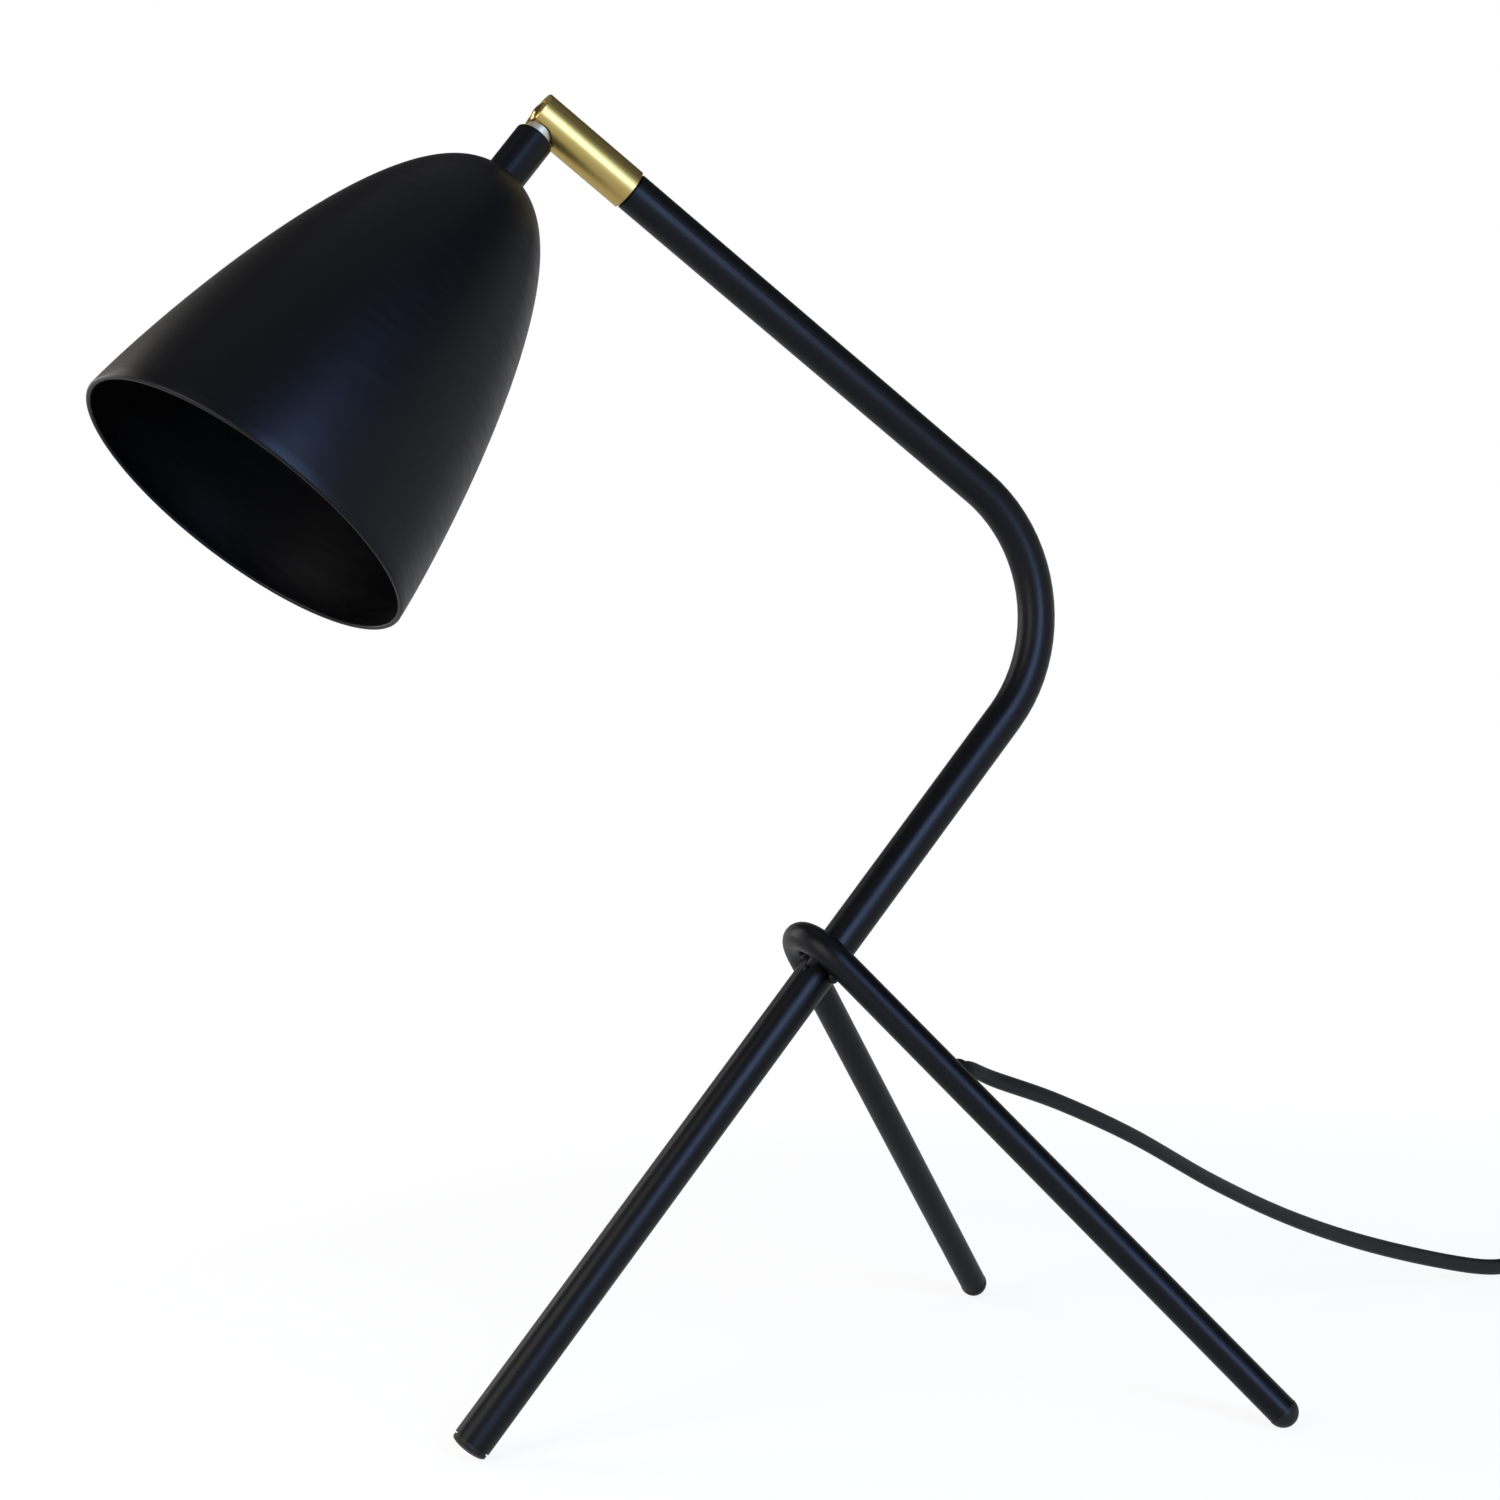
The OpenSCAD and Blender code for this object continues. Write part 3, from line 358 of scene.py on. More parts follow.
def weld_bead(name, at, along, facing, length, width):
    """A long rippled bead that lies along one direction and faces another."""
    bpy.ops.object.select_all(action="DESELECT")
    bpy.ops.mesh.primitive_uv_sphere_add(segments=20, ring_count=BEAD_RINGS, radius=1)
    bpy.ops.object.mode_set(mode="EDIT")
    piece = bpy.context.object
    for step in range(1, RIPPLES + 1):
        bpy.ops.mesh.select_all(action="DESELECT")
        bpy.ops.object.mode_set(mode="OBJECT")
        low = math.cos(math.pi * (2 * step + 0.5) / BEAD_RINGS)
        high = math.cos(math.pi * (2 * step - 0.5) / BEAD_RINGS)
        for v in piece.data.vertices:
            v.select = low < v.co.z < high
        bpy.ops.object.mode_set(mode="EDIT")
        bpy.ops.transform.resize(value=(1.16, 1.16, 1))
        bpy.ops.transform.translate(value=(0.05 * math.sin(step * 2.4), 0, 0.03))
    bpy.ops.mesh.select_all(action="SELECT")
    bpy.ops.transform.resize(value=(width / 2, width / 2, length / 2))
    bpy.ops.object.mode_set(mode="OBJECT")
    smoother = piece.modifiers.new("rounded", "SUBSURF")
    smoother.levels = 1
    bpy.ops.object.modifier_apply(modifier=smoother.name)
    side = facing.cross(along).normalized()
    turn = Matrix((side, along.cross(side).normalized(), along.normalized())).transposed()
    settle(name, Matrix.Translation(at) @ turn.to_4x4())
    bpy.ops.object.shade_smooth()
    return piece


TUBE_LINE = Vector((0, 0.6717, 0.7408))
beads = []
for side, word in ((1, "right"), (-1, "left")):
    inner = weld_bead(f"weld_bead_{word}", Vector((side * 0.0058, 0.0571, 0.1478)),
                      Vector((side * 0.55, 0.35, 0.75)), Vector((side * 0.6, -0.75, 0)),
                      0.0098, 0.0036)
    under = weld_bead(f"weld_bead_{word}_under", Vector((side * 0.0078, 0.0632, 0.1428)),
                      Vector((side * 0.3, 0.3, 0.9)), Vector((side, 0, -0.4)),
                      0.0062, 0.0040)
    spatter = weld_bead(f"weld_spatter_{word}", Vector((side * 0.0050, 0.0540, 0.1452)),
                        TUBE_LINE, Vector((side * 0.6, -0.75, 0)), 0.0026, 0.0012)
    beads += [inner, under, spatter]
for bead in beads:
    stands_for(bead, "base_frame", "black_powder_coat")
print("beads:", [bead.name for bead in beads])

# %% [markdown]
# ## Sleeves that guard the flex
# Where a flex enters the switch or the plug it would crack from being bent at the same
# spot, so a soft sleeve is moulded round it that grows thinner as it goes. Ribs make it
# bend evenly. A straight cone would part from the flex where it bends, so each sleeve is
# swept along the flex's own route with a larger section. HELD is how much flex lies
# inside the switch or the plug, where the sleeve begins.

# %% Ribbed sleeves
SLEEVE_STEPS, PROUD, TAPER_OFF, GROOVE = 44, 0.0014, 0.0008, 0.00045


def places_along(route, start, end):
    """Places from start to end, in metres along a route, each with its share of the way."""
    spans = [(b - a).length for a, b in zip(route, route[1:])]
    found = []
    for k in range(SLEEVE_STEPS + 1):
        goal, gone, i = start + (end - start) * k / SLEEVE_STEPS, 0.0, 0
        while i < len(spans) - 1 and gone + spans[i] < goal:
            gone, i = gone + spans[i], i + 1
        share = (goal - gone) / spans[i]
        found.append((route[i].lerp(route[i + 1], share), (i + share) / (len(route) - 1)))
    return found


def sleeve(name, route, wide_side, start, end, finish_slot):
    """A ribbed taper round the flex, between two distances along its route in metres."""
    places, points = places_along(route, start, end), []
    for k, (at, share) in enumerate(places):
        before, after = places[max(k - 1, 0)][0], places[min(k + 1, SLEEVE_STEPS)][0]
        groove = GROOVE if k % 8 in (4, 5, 6) and 4 < k < SLEEVE_STEPS - 2 else 0.0
        more = PROUD - TAPER_OFF * k / SLEEVE_STEPS - groove
        points += oval_ring(at, (after - before).normalized(), wide_side(share),
                            CORD_WIDE / 2 + more, CORD_THICK / 2 + more)
    piece = skin(name, points)
    bpy.ops.object.select_all(action="DESELECT")
    piece.select_set(True)
    bpy.context.view_layer.objects.active = piece
    bpy.ops.object.mode_set(mode="EDIT")
    bpy.ops.mesh.select_all(action="SELECT")
    bpy.ops.mesh.normals_make_consistent(inside=False)
    bpy.ops.object.mode_set(mode="OBJECT")
    bpy.ops.object.shade_smooth_by_angle(angle=math.radians(50))
    stands_for(piece, "base_frame", finish_slot)
    return piece


HELD, SWITCH_REACH, PLUG_REACH = 0.0088, 0.031, 0.033
lead_end, tail_end = route_length(lead_route), route_length(tail_route)
sleeves = [
    sleeve("switch_sleeve_lamp_side", lead_route, lead_side, lead_end - HELD,
           lead_end - SWITCH_REACH, "black_switch_plastic"),
    sleeve("switch_sleeve_plug_side", tail_route, tail_side, HELD, SWITCH_REACH,
           "black_switch_plastic"),
    sleeve("plug_sleeve", tail_route, tail_side, tail_end - HELD, tail_end - PLUG_REACH,
           "black_plug_plastic")]

# %% [markdown]
# ## Marks on the rocker
# The rocker carries a short bar for on and a ring for off, moulded a quarter of a
# millimetre proud, so that a hand finds them in the dark. A painted picture would show
# them too, but it would be flat, so a cube is bevelled to a bar and a ring is flattened.
# Each is set on its own sloping face and rides on the rocker.

# %% Bar and ring
PIVOT_UP, FACE_UP, SLOPE = 0.012, 0.0042, math.radians(8)


def mark(name, x, make, shape):
    """A raised mark on a face of the rocker, x metres from its pivot along the switch."""
    bpy.ops.object.select_all(action="DESELECT")
    make()
    bpy.ops.object.mode_set(mode="EDIT")
    bpy.ops.mesh.select_all(action="SELECT")
    shape()
    bpy.ops.object.mode_set(mode="OBJECT")
    pivot = SWITCH_AT / 1000 + Vector((0, 0, PIVOT_UP))
    rocked = Matrix.Rotation(SWITCH_AIM, 4, "Z") @ Matrix.Rotation(SLOPE, 4, "Y")
    face = Matrix.Rotation(-SLOPE if x > 0 else SLOPE, 4, "Y")
    height = FACE_UP + abs(x) * math.tan(SLOPE)
    piece = settle(name, Matrix.Translation(pivot) @ rocked
                   @ Matrix.Translation((x, 0, height)) @ face)
    bpy.ops.object.shade_smooth_by_angle(angle=math.radians(40))
    stands_for(piece, "rocker", "black_rocker_plastic")
    print(name, "is", [round(1000 * d, 2) for d in piece.dimensions], "mm")


def bevelled_bar():
    """Shapes a cube to a short bar with rounded edges."""
    bpy.ops.transform.resize(value=(0.0008, 0.0032, 0.0005))
    bpy.ops.mesh.bevel(offset=0.0002, segments=3, affect="EDGES")


def flattened_ring():
    """Presses a ring of round section flatter."""
    bpy.ops.transform.resize(value=(1, 1, 0.6))


MARK_OUT = 0.0048
mark("mark_on", MARK_OUT, lambda: bpy.ops.mesh.primitive_cube_add(size=1), bevelled_bar)
mark("mark_off", -MARK_OUT, lambda: bpy.ops.mesh.primitive_torus_add(
    major_radius=0.0015, minor_radius=0.0004, major_segments=40, minor_segments=10),
    flattened_ring)

# %% [markdown]
# ## Finishes
# Every finish begins with what it is in the workshop. Colours are written as hex values,
# the way paint is picked on a screen, and turned to the linear values that a renderer
# adds up. One helper adds a node, so that each finish reads as a short list of steps.

# %% Helpers for finishes
def paint(code):
    """An sRGB hex colour as linear red, green, blue and a full alpha."""
    parts = [int(code[i:i + 2], 16) / 255 for i in (0, 2, 4)]
    return (*[c / 12.92 if c <= 0.04045 else ((c + 0.055) / 1.055) ** 2.4 for c in parts], 1)


def add(tree, kind, inputs=None, **settings):
    """Adds a node, sets its options, and fills or links its inputs."""
    made = tree.nodes.new(kind)
    for name, value in settings.items():
        setattr(made, name, value)
    for name, value in (inputs or {}).items():
        if isinstance(value, bpy.types.NodeSocket):
            tree.links.new(value, made.inputs[name])
        else:
            made.inputs[name].default_value = value
    return made


def finish(name, colour, roughness, metallic=0.0):
    """A new material: returns it, its tree and its shader, with plain values set."""
    material = bpy.data.materials.new(name)
    material.use_nodes = True
    tree = material.node_tree
    shader = tree.nodes["Principled BSDF"]
    shader.inputs["Base Color"].default_value = paint(colour)
    shader.inputs["Roughness"].default_value = roughness
    shader.inputs["Metallic"].default_value = metallic
    return material, tree, shader


def spread(tree, value, low, high):
    """Maps a 0 to 1 value to the range from low to high."""
    mapped = add(tree, "ShaderNodeMapRange", {"Value": value, "To Min": low, "To Max": high})
    return mapped.outputs["Result"]


def relief(tree, shader, height, depth, strength):
    """Bumps the surface by height, where depth is the real relief in metres."""
    bump = add(tree, "ShaderNodeBump", {"Height": height, "Distance": depth,
                                        "Strength": strength})
    tree.links.new(bump.outputs["Normal"], shader.inputs["Normal"])


def dress(material, *names):
    """Gives a finish to measured nodes, or to pieces, by name."""
    for name in names:
        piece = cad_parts.get(name) or bpy.data.objects[name]
        if not piece.material_slots:
            piece.data.materials.append(material)
        piece.material_slots[0].material = material
    print(material.name, "on", ", ".join(names))


print("a mid grey in linear light is", [round(c, 3) for c in paint("808080")[:3]])

# %% [markdown]
# ### Satin black powder coat on the tubes
# Polyester powder is sprayed on dry and melted in an oven. It levels into a film with a
# faint orange peel, about a millimetre from crest to crest, and a soft sheen. The black
# has a little blue in it, which shows only where light glances off. Its reflection is
# kept low, because a fine matting agent in the powder scatters most of the gloss.

# %% Powder coat
def powder_coat():
    """Black powder coat with a faint orange peel."""
    material, tree, shader = finish("satin_powder_coat_black", "050507", 0.34)
    shader.inputs["Specular IOR Level"].default_value = 0.3
    shader.inputs["Specular Tint"].default_value = paint("eceffb")
    place = add(tree, "ShaderNodeTexCoord").outputs["Object"]
    peel = add(tree, "ShaderNodeTexNoise", {"Vector": place, "Scale": 1 / 0.0011, "Detail": 2.0,
                                            "Roughness": 0.45})
    clouds = add(tree, "ShaderNodeTexNoise", {"Vector": place, "Scale": 1 / 0.02, "Detail": 3.0})
    tree.links.new(spread(tree, clouds.outputs["Fac"], 0.3, 0.44), shader.inputs["Roughness"])
    relief(tree, shader, peel.outputs["Fac"], 0.000014, 0.7)
    return material


dress(powder_coat(), "arm_tube", "rear_legs", "hub_welds", "stem", *[b.name for b in beads])

# %% [markdown]
# ### Matt black lacquer over the spun shade
# The shade is spun from a disc on a lathe. The tool leaves fine rings round the axis, and
# a matt lacquer all but fills them: what is left only makes the sheen a little uneven
# along the bell. The pattern is laid out on the shade's own axis, stretched along the
# rings and dense along the axis. It is drawn a little coarser than the real 0.3 mm, and
# kept very shallow, as the photograph shows a smooth bell.

# %% Patterns that follow an axis
shade_turn = shade_frame.transposed().to_euler("XYZ")


def along_axis(tree, turn, squeeze):
    """Object coordinates turned so that Z runs along a piece's axis, then scaled."""
    place = add(tree, "ShaderNodeTexCoord").outputs["Object"]
    turned_to = add(tree, "ShaderNodeMapping", {"Vector": place, "Rotation": turn})
    return add(tree, "ShaderNodeMapping", {"Vector": turned_to.outputs["Vector"],
                                           "Scale": squeeze}).outputs["Vector"]


print("the shade's pattern is turned by", [round(math.degrees(a), 1) for a in shade_turn])

# %% Lacquer
def shade_lacquer():
    """Matt lacquer over faint turning rings."""
    material, tree, shader = finish("matt_lacquer_on_spun_steel", "030305", 0.42)
    shader.inputs["Specular IOR Level"].default_value = 0.3
    shader.inputs["Specular Tint"].default_value = paint("e6ebfb")
    round_axis = along_axis(tree, shade_turn, (30, 30, 1400))
    rings = add(tree, "ShaderNodeTexNoise", {"Vector": round_axis, "Scale": 1.0,
                                             "Detail": 2.0, "Roughness": 0.5})
    shorter = along_axis(tree, shade_turn, (90, 90, 700))
    streaks = add(tree, "ShaderNodeTexNoise", {"Vector": shorter, "Scale": 1.0, "Detail": 2.0})
    both = add(tree, "ShaderNodeMath", {0: rings.outputs["Fac"], 1: streaks.outputs["Fac"]},
               operation="ADD")
    tree.links.new(spread(tree, streaks.outputs["Fac"], 0.3, 0.5), shader.inputs["Roughness"])
    relief(tree, shader, both.outputs["Value"], 0.000006, 0.5)
    return material


dress(shade_lacquer(), "spun_shade", "shade")

# %% [markdown]
# ### Brass
# The sleeve is turned from bar and drawn over fine cloth along its length, then sealed
# with a clear lacquer. Long scratches along the axis stretch each reflection into a pale
# streak, so the noise is squeezed across the axis and long along it. The stud is a pale
# metal. Its ball is polished, so that it turns smoothly, and is painted gold: a painted
# reflection of the brass sleeve round it. Its neck is blasted matt and keeps the stud's
# own pale colour. One material does both, because it measures how far a point lies from
# the ball's centre along the stem.

# %% Satin brass, and a pale stud with a painted reflection
arm_turn = (math.radians(-52.6), 0, 0)
NECK_FROM, NECK_TO = 0.0048, 0.0053


def satin_brass():
    """Brass drawn over fine cloth along its length."""
    material, tree, shader = finish("satin_drawn_brass", "d3b96d", 0.35, 1.0)
    scratched = along_axis(tree, arm_turn, (1500, 1500, 14))
    drawn = add(tree, "ShaderNodeTexNoise", {"Vector": scratched, "Scale": 1.0,
                                             "Detail": 2.0, "Roughness": 0.5})
    banded = along_axis(tree, arm_turn, (500, 500, 12))
    broad = add(tree, "ShaderNodeTexNoise", {"Vector": banded, "Scale": 1.0, "Detail": 1.0})
    tone = add(tree, "ShaderNodeMix", {"Factor": broad.outputs["Fac"], "A": paint("ccaf61"),
                                       "B": paint("dac37a")}, data_type="RGBA")
    tree.links.new(tone.outputs[2], shader.inputs["Base Color"])
    tree.links.new(spread(tree, drawn.outputs["Fac"], 0.33, 0.37), shader.inputs["Roughness"])
    relief(tree, shader, drawn.outputs["Fac"], 0.000002, 0.1)
    return material


def pale_stud_with_painted_reflection():
    """Pale metal, blasted from the neck down to the stem; the polished ball's gold is a painted
    reflection of the brass sleeve.
    """
    # The base colour is the gold of the painted reflection on the ball.
    material, tree, shader = finish("polished_and_blasted_brass", "e3c473", 0.16, 1.0)
    place = add(tree, "ShaderNodeTexCoord").outputs["Object"]
    from_ball = add(tree, "ShaderNodeVectorMath", {0: place, 1: tuple(BALL)},
                    operation="SUBTRACT")
    along = add(tree, "ShaderNodeVectorMath", {0: from_ball.outputs["Vector"],
                                               1: tuple(SHADE_Z)}, operation="DOT_PRODUCT")
    neck = add(tree, "ShaderNodeMapRange", {"Value": along.outputs["Value"],
                                            "From Min": NECK_FROM, "From Max": NECK_TO})
    neck = neck.outputs["Result"]
    # Gold on the ball is a painted reflection of the brass sleeve; the pale neck is the stud's own
    # colour.
    tone = add(tree, "ShaderNodeMix", {"Factor": neck, "A": paint("e3c473"), "B": paint("efe8d2")},
               data_type="RGBA")
    tree.links.new(tone.outputs[2], shader.inputs["Base Color"])
    wipe = add(tree, "ShaderNodeTexNoise", {"Vector": place, "Scale": 1 / 0.0015, "Detail": 3.0})
    polish = spread(tree, wipe.outputs["Fac"], 0.1, 0.2)
    rough = add(tree, "ShaderNodeMix", {"Factor": neck, "A": polish, "B": 0.5})
    tree.links.new(rough.outputs[0], shader.inputs["Roughness"])
    return material


dress(satin_brass(), "knuckle_sleeve")
dress(pale_stud_with_painted_reflection(), "ball_stud")

# %% [markdown]
# ### Plastics and rubber
# The foot caps, switch, plug and holder are moulded in black, and a mould is spark
# eroded, so its surface is a fine even grain that scatters the light softly. The rocker's
# mould was polished, so it shines. The flex is extruded, which leaves it smoother, with
# slow waves along it, and the rubber collar is the dullest. Inside, the holder's core is
# glazed steatite, the bulb's housing is a smooth white plastic, and the ball's seat an
# ivory one that slides well. Each is the same recipe with its own grain size and depth.

# %% Moulded and extruded plastics
def moulded(name, colour, low, high, grain, depth, specular=0.4):
    """Moulded plastic with a grain of that size and depth, both in metres."""
    material, tree, shader = finish(name, colour, (low + high) / 2)
    shader.inputs["Specular IOR Level"].default_value = specular
    place = add(tree, "ShaderNodeTexCoord").outputs["Object"]
    fine = add(tree, "ShaderNodeTexNoise", {"Vector": place, "Scale": 1 / grain,
                                            "Detail": 2.0})
    slow = add(tree, "ShaderNodeTexNoise", {"Vector": place, "Scale": 1 / (grain * 30),
                                            "Detail": 2.0})
    tree.links.new(spread(tree, slow.outputs["Fac"], low, high), shader.inputs["Roughness"])
    relief(tree, shader, fine.outputs["Fac"], depth, 0.7)
    return material


dress(moulded("nylon_foot_cap_black", "101013", 0.4, 0.56, 0.0005, 0.00003),
      "front_foot", "rear_foot_right", "rear_foot_left")
dress(moulded("pvc_flex_black", "0e0e11", 0.36, 0.48, 0.0012, 0.00004),
      "flex_lead", "flex_tail", "arm_lead", "head_lead")
dress(moulded("soft_rubber_black", "0c0c0d", 0.55, 0.7, 0.0006, 0.00003), "cord_grommet")
dress(moulded("switch_shell_black", "121214", 0.42, 0.56, 0.0004, 0.00004),
      "switch_base", "switch_cover", "plug_body", *[s.name for s in sleeves])
dress(moulded("rocker_gloss_black", "0e0e10", 0.14, 0.22, 0.0020, 0.000005, 0.5),
      "switch_rocker")
dress(moulded("mark_white", "d8d8d4", 0.4, 0.5, 0.0004, 0.00001), "mark_on", "mark_off")
dress(moulded("holder_thermoset_black", "111113", 0.34, 0.46, 0.0006, 0.00001),
      "holder_cap", "holder_skirt")
dress(moulded("steatite_white", "e9e6dd", 0.16, 0.28, 0.0010, 0.00001, 0.5),
      "holder_core")
dress(moulded("bulb_housing_white", "ebebe8", 0.34, 0.44, 0.0008, 0.00001, 0.5),
      "bulb_housing")
dress(moulded("slippery_seat_ivory", "d9d6c9", 0.3, 0.4, 0.0006, 0.00001), "ball_seat")

# %% [markdown]
# ### Small metal parts
# Plated steel, spring wire and contact strip are all metals that differ in colour and in
# how they were worked. Zinc plating is a cool grey that goes dull in spots, spring wire
# keeps the shine of the die it was drawn through, and stamped brass is warm and bright.
# One recipe serves them all, each with its own colour, polish and size of dull spots.

# %% Plated, drawn and stamped metal
def worked_metal(name, colour, low, high, grain):
    """Bare or plated metal whose polish changes over spots of the size of grain."""
    material, tree, shader = finish(name, colour, (low + high) / 2, 1.0)
    place = add(tree, "ShaderNodeTexCoord").outputs["Object"]
    marks = add(tree, "ShaderNodeTexNoise", {"Vector": place, "Scale": 1 / grain, "Detail": 4.0})
    tree.links.new(spread(tree, marks.outputs["Fac"], low, high), shader.inputs["Roughness"])
    relief(tree, shader, marks.outputs["Fac"], 0.000008, 0.5)
    return material


dress(worked_metal("black_passivated_zinc", "1b1b1d", 0.34, 0.5, 0.0010), "tube_bush")
dress(worked_metal("zinc_plated_steel", "b4b6ba", 0.24, 0.42, 0.0012),
      "shade_washer", "lock_nut", "shade_nipple", "switch_screws")
dress(worked_metal("drawn_spring_wire", "a7a8ab", 0.18, 0.3, 0.0006),
      "knuckle_spring", "stud_clip")
dress(worked_metal("stamped_contact_brass", "c9a95c", 0.22, 0.34, 0.0008),
      "screw_shell", "centre_contact", "switch_contacts")
dress(worked_metal("rolled_cap_aluminium", "c6c8cb", 0.24, 0.36, 0.0010), "bulb_base")
dress(worked_metal("soft_solder", "b9bbbe", 0.3, 0.5, 0.0007), "bulb_tip")

# %% [markdown]
# ### Plug pins
# Each pin is nickel plated, and its first 10 mm outside the plug wear black plastic, so
# that no finger meets live metal while it is half out. The pin is one solid, so the band
# is told from the metal by how far a point lies in front of the plug.

# %% Plug pins with a black insulating band
BAND_END = on_plug(46) / 1000


def banded_pins():
    """Nickel-plated pins, whose first 10 mm outside the plug wear black plastic."""
    material, tree, shader = finish("nickel_pins_with_black_band", "cfccc4", 0.18, 1.0)
    place = add(tree, "ShaderNodeTexCoord").outputs["Object"]
    from_band = add(tree, "ShaderNodeVectorMath", {0: place, 1: tuple(BAND_END)},
                    operation="SUBTRACT")
    past = add(tree, "ShaderNodeVectorMath", {0: from_band.outputs["Vector"],
                                              1: tuple(on_plug(1) - on_plug(0))},
               operation="DOT_PRODUCT")
    bare = add(tree, "ShaderNodeMapRange", {"Value": past.outputs["Value"],
                                            "From Min": -0.00005, "From Max": 0.00005})
    bare = bare.outputs["Result"]
    tone = add(tree, "ShaderNodeMix", {"Factor": bare, "A": paint("121214"),
                                       "B": paint("cfccc4")}, data_type="RGBA")
    tree.links.new(tone.outputs[2], shader.inputs["Base Color"])
    tree.links.new(bare, shader.inputs["Metallic"])
    wipe = add(tree, "ShaderNodeTexNoise", {"Vector": place, "Scale": 1 / 0.0015, "Detail": 3.0})
    rough = add(tree, "ShaderNodeMix", {"Factor": bare, "A": 0.45,
                                        "B": spread(tree, wipe.outputs["Fac"], 0.12, 0.22)})
    tree.links.new(rough.outputs[0], shader.inputs["Roughness"])
    return material


dress(banded_pins(), "plug_pins")

# %% [markdown]
# ### The bulb's dome
# The dome is opal: white pigment in a clear shell lets light in and sends it back softly,
# so its edge looks soft while its face stays glossy. It could be made as clear glass with
# a white coat inside, but plastic with a little light scattered under its skin needs only
# one layer.

# %% Opal dome
def opal_dome():
    """Opal plastic that lets a little light in."""
    material, tree, shader = finish("opal_polycarbonate", "f1f0ea", 0.3)
    shader.inputs["Subsurface Weight"].default_value = 0.25
    shader.inputs["Subsurface Scale"].default_value = 0.004
    place = add(tree, "ShaderNodeTexCoord").outputs["Object"]
    haze = add(tree, "ShaderNodeTexNoise", {"Vector": place, "Scale": 1 / 0.004, "Detail": 2.0})
    tree.links.new(spread(tree, haze.outputs["Fac"], 0.24, 0.36), shader.inputs["Roughness"])
    return material


dress(opal_dome(), "bulb_dome")

# %% [markdown]
# ## The studio
# The table is a wide pale sheet that runs on into a white room. The camera sees both
# almost white. The lamp itself sees a room that is bright near the horizon and dark
# overhead, so the black stays black and the rounded edges lift against the white.
# Four soft boxes draw the highlights: a small warm window behind on the left, a warm box
# at the left of the camera for the legs, a tall bluish one at its right for the shade and
# the knuckle, and a wide faint one on the ceiling.

# %% Floor and room
FLOOR_SIZE, FLOOR_AT = 14, -0.0002
bpy.ops.object.select_all(action="DESELECT")
bpy.ops.mesh.primitive_plane_add(size=FLOOR_SIZE, location=(0, 0, FLOOR_AT))
floor = bpy.context.object
floor.name = "floor_sheet"


def pale_sheet():
    """Paper that takes the lamp's shadow, and looks almost white to the camera."""
    material = bpy.data.materials.new("pale_paper_sheet")
    material.use_nodes = True
    tree = material.node_tree
    tree.nodes.clear()
    seen = add(tree, "ShaderNodeLightPath")
    paper = add(tree, "ShaderNodeBsdfDiffuse", {"Color": paint("8f8f8f")})
    place = add(tree, "ShaderNodeTexCoord").outputs["Object"]
    away = add(tree, "ShaderNodeVectorMath", {0: place}, operation="LENGTH")
    level = add(tree, "ShaderNodeMapRange", {"Value": away.outputs["Value"], "From Min": 0.35,
                                             "From Max": 1.1, "To Min": 0.86, "To Max": 1.0})
    glow = add(tree, "ShaderNodeEmission", {"Color": (1, 1, 1, 1),
                                            "Strength": level.outputs["Result"]})
    mirror = add(tree, "ShaderNodeMath", {0: seen.outputs["Is Glossy Ray"],
                                          1: seen.outputs["Is Transmission Ray"]},
                 operation="MAXIMUM")
    part = add(tree, "ShaderNodeMath", {0: mirror.outputs["Value"], 1: 0.5},
               operation="MULTIPLY")
    who = add(tree, "ShaderNodeMath", {0: seen.outputs["Is Camera Ray"],
                                       1: part.outputs["Value"]}, operation="MAXIMUM")
    none = add(tree, "ShaderNodeEmission", {"Strength": 0.0})
    veil = add(tree, "ShaderNodeMixShader", {0: who.outputs["Value"], 1: none.outputs[0],
                                             2: glow.outputs[0]})
    both = add(tree, "ShaderNodeAddShader", {0: paper.outputs[0], 1: veil.outputs[0]})
    add(tree, "ShaderNodeOutputMaterial", {"Surface": both.outputs[0]})
    return material


floor.data.materials.append(pale_sheet())

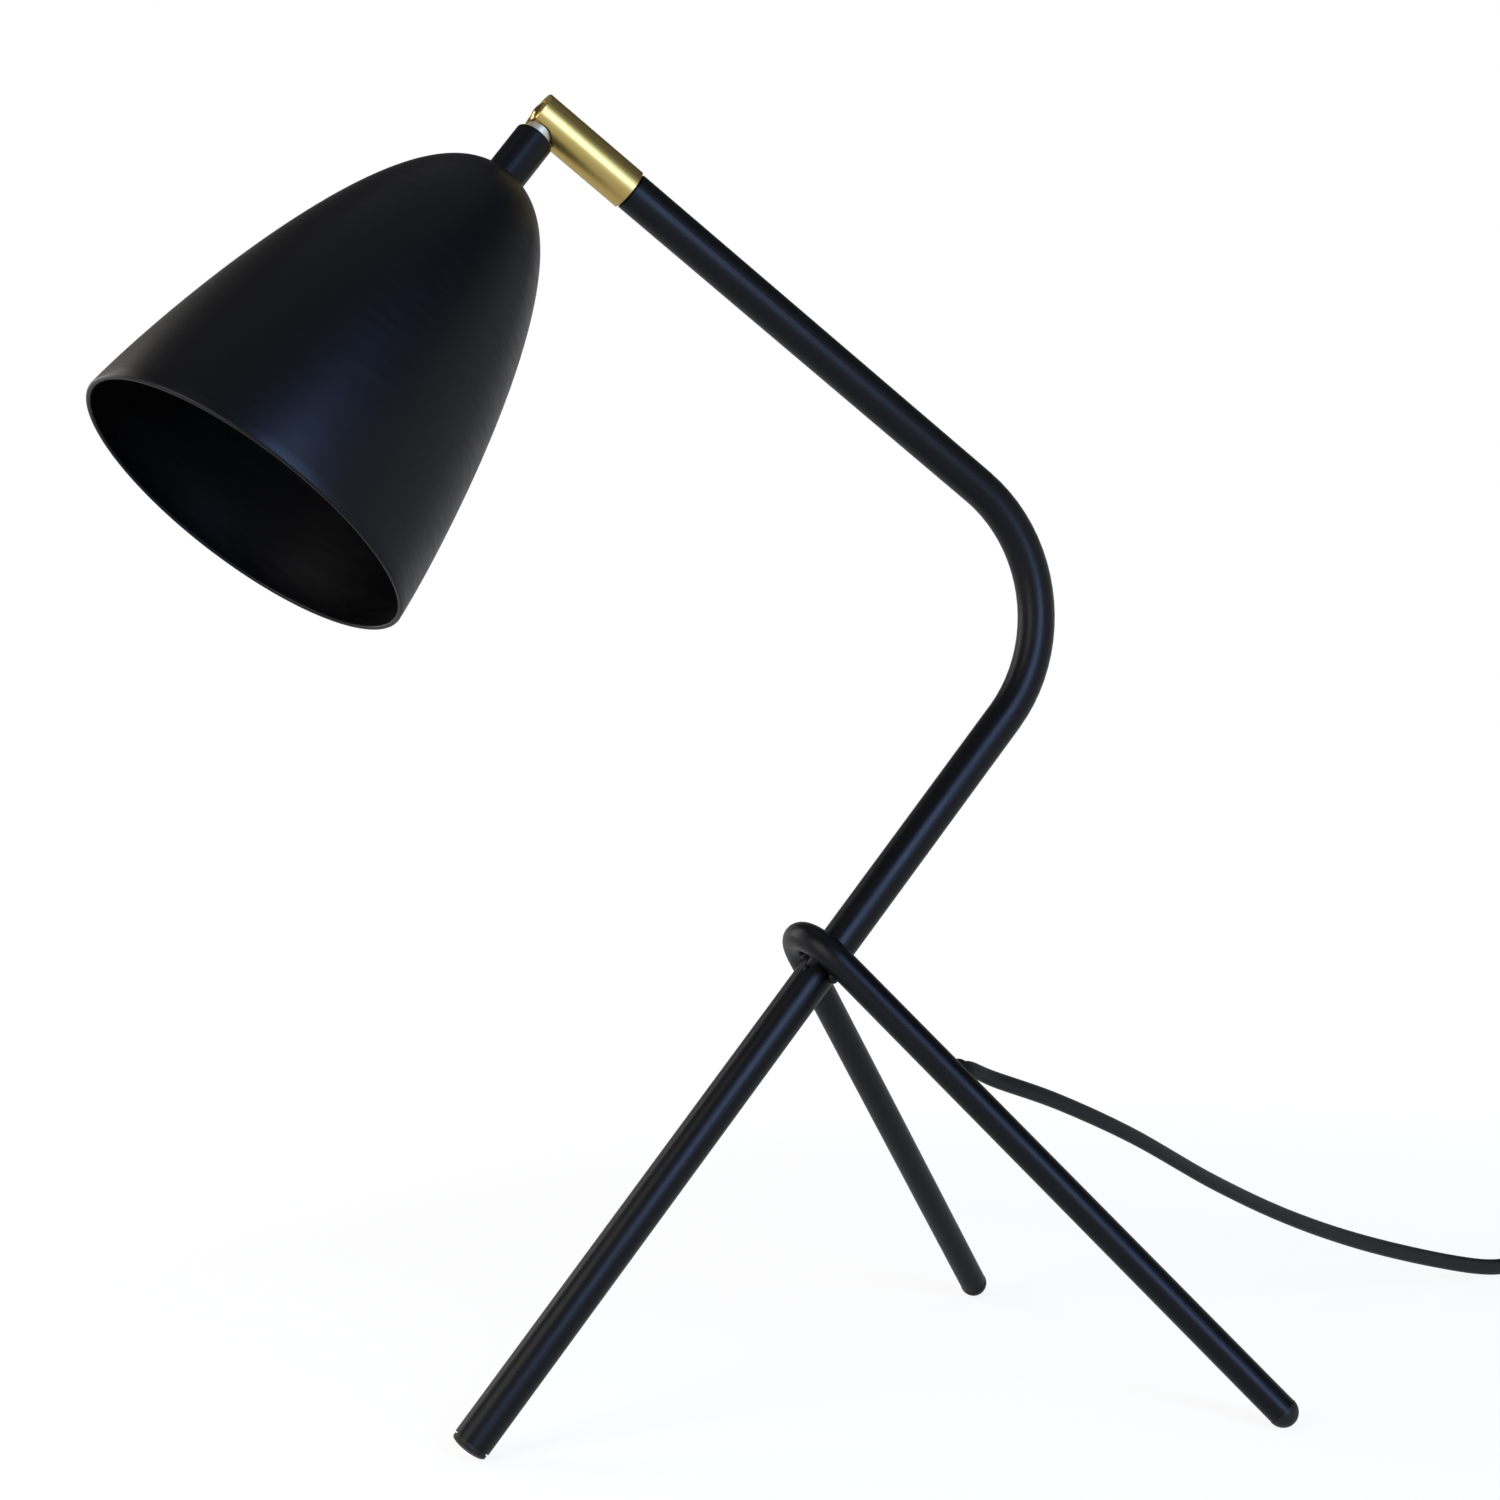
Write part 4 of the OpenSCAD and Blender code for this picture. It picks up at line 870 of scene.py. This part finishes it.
room = bpy.data.worlds.new("white_room")
bpy.context.scene.world = room
room.use_nodes = True
tree = room.node_tree
tree.nodes.clear()
seen = add(tree, "ShaderNodeLightPath")
heading = add(tree, "ShaderNodeTexCoord").outputs["Generated"]
height = add(tree, "ShaderNodeSeparateXYZ", {"Vector": heading}).outputs["Z"]
walls = add(tree, "ShaderNodeMapRange", {"Value": height, "From Min": 0.05, "From Max": 0.6,
                                         "To Min": 0.62, "To Max": 0.07},
            interpolation_type="SMOOTHSTEP")
level = add(tree, "ShaderNodeMath", {0: walls.outputs["Result"],
                                     1: seen.outputs["Is Camera Ray"]}, operation="MAXIMUM")
wall = add(tree, "ShaderNodeBackground", {"Color": (1, 1, 1, 1),
                                          "Strength": level.outputs["Value"]})
add(tree, "ShaderNodeOutputWorld", {"Surface": wall.outputs[0]})
print(floor.name, "is", FLOOR_SIZE, "m wide, in", room.name)


# %% Soft boxes
def soft_box(name, at, towards, size, power, colour="ffffff"):
    """A rectangle of soft light that faces a point."""
    data = bpy.data.lights.new(name, "AREA")
    data.shape, data.size, data.size_y = "RECTANGLE", size[0], size[1]
    data.energy, data.color = power, paint(colour)[:3]
    lamp = bpy.data.objects.new(name, data)
    bpy.context.scene.collection.objects.link(lamp)
    aim_at = (Vector(towards) - Vector(at)).to_track_quat("-Z", "Y")
    lamp.matrix_world = Matrix.Translation(at) @ aim_at.to_matrix().to_4x4()
    print(name, power, "W at", [round(x, 2) for x in at])


middle = Vector((0, 0.02, 0.24))
soft_box("window_box", middle - level_right * 1.0 + forward * 0.55 + Vector((0, 0, 0.45)),
         middle, (0.4, 0.9), 3, "fff8ee")
soft_box("left_box", (0.24, -0.76, 0.46), (0, -0.06, 0.12), (0.5, 0.7), 3, "fff6ea")
soft_box("right_box", middle + level_right * 0.62 - forward * 1.2 + Vector((0, 0, 0.34)),
         middle, (0.5, 1.0), 13, "a9c9ff")
soft_box("ceiling_box", (0.1, 0.1, 1.9), middle, (1.8, 1.8), 2)

# %% [markdown]
# ## The view transform
# Paint and light change no size. The picture is shown through the standard view transform.

# %% Set the view transform
bpy.context.scene.view_settings.view_transform = "Standard"
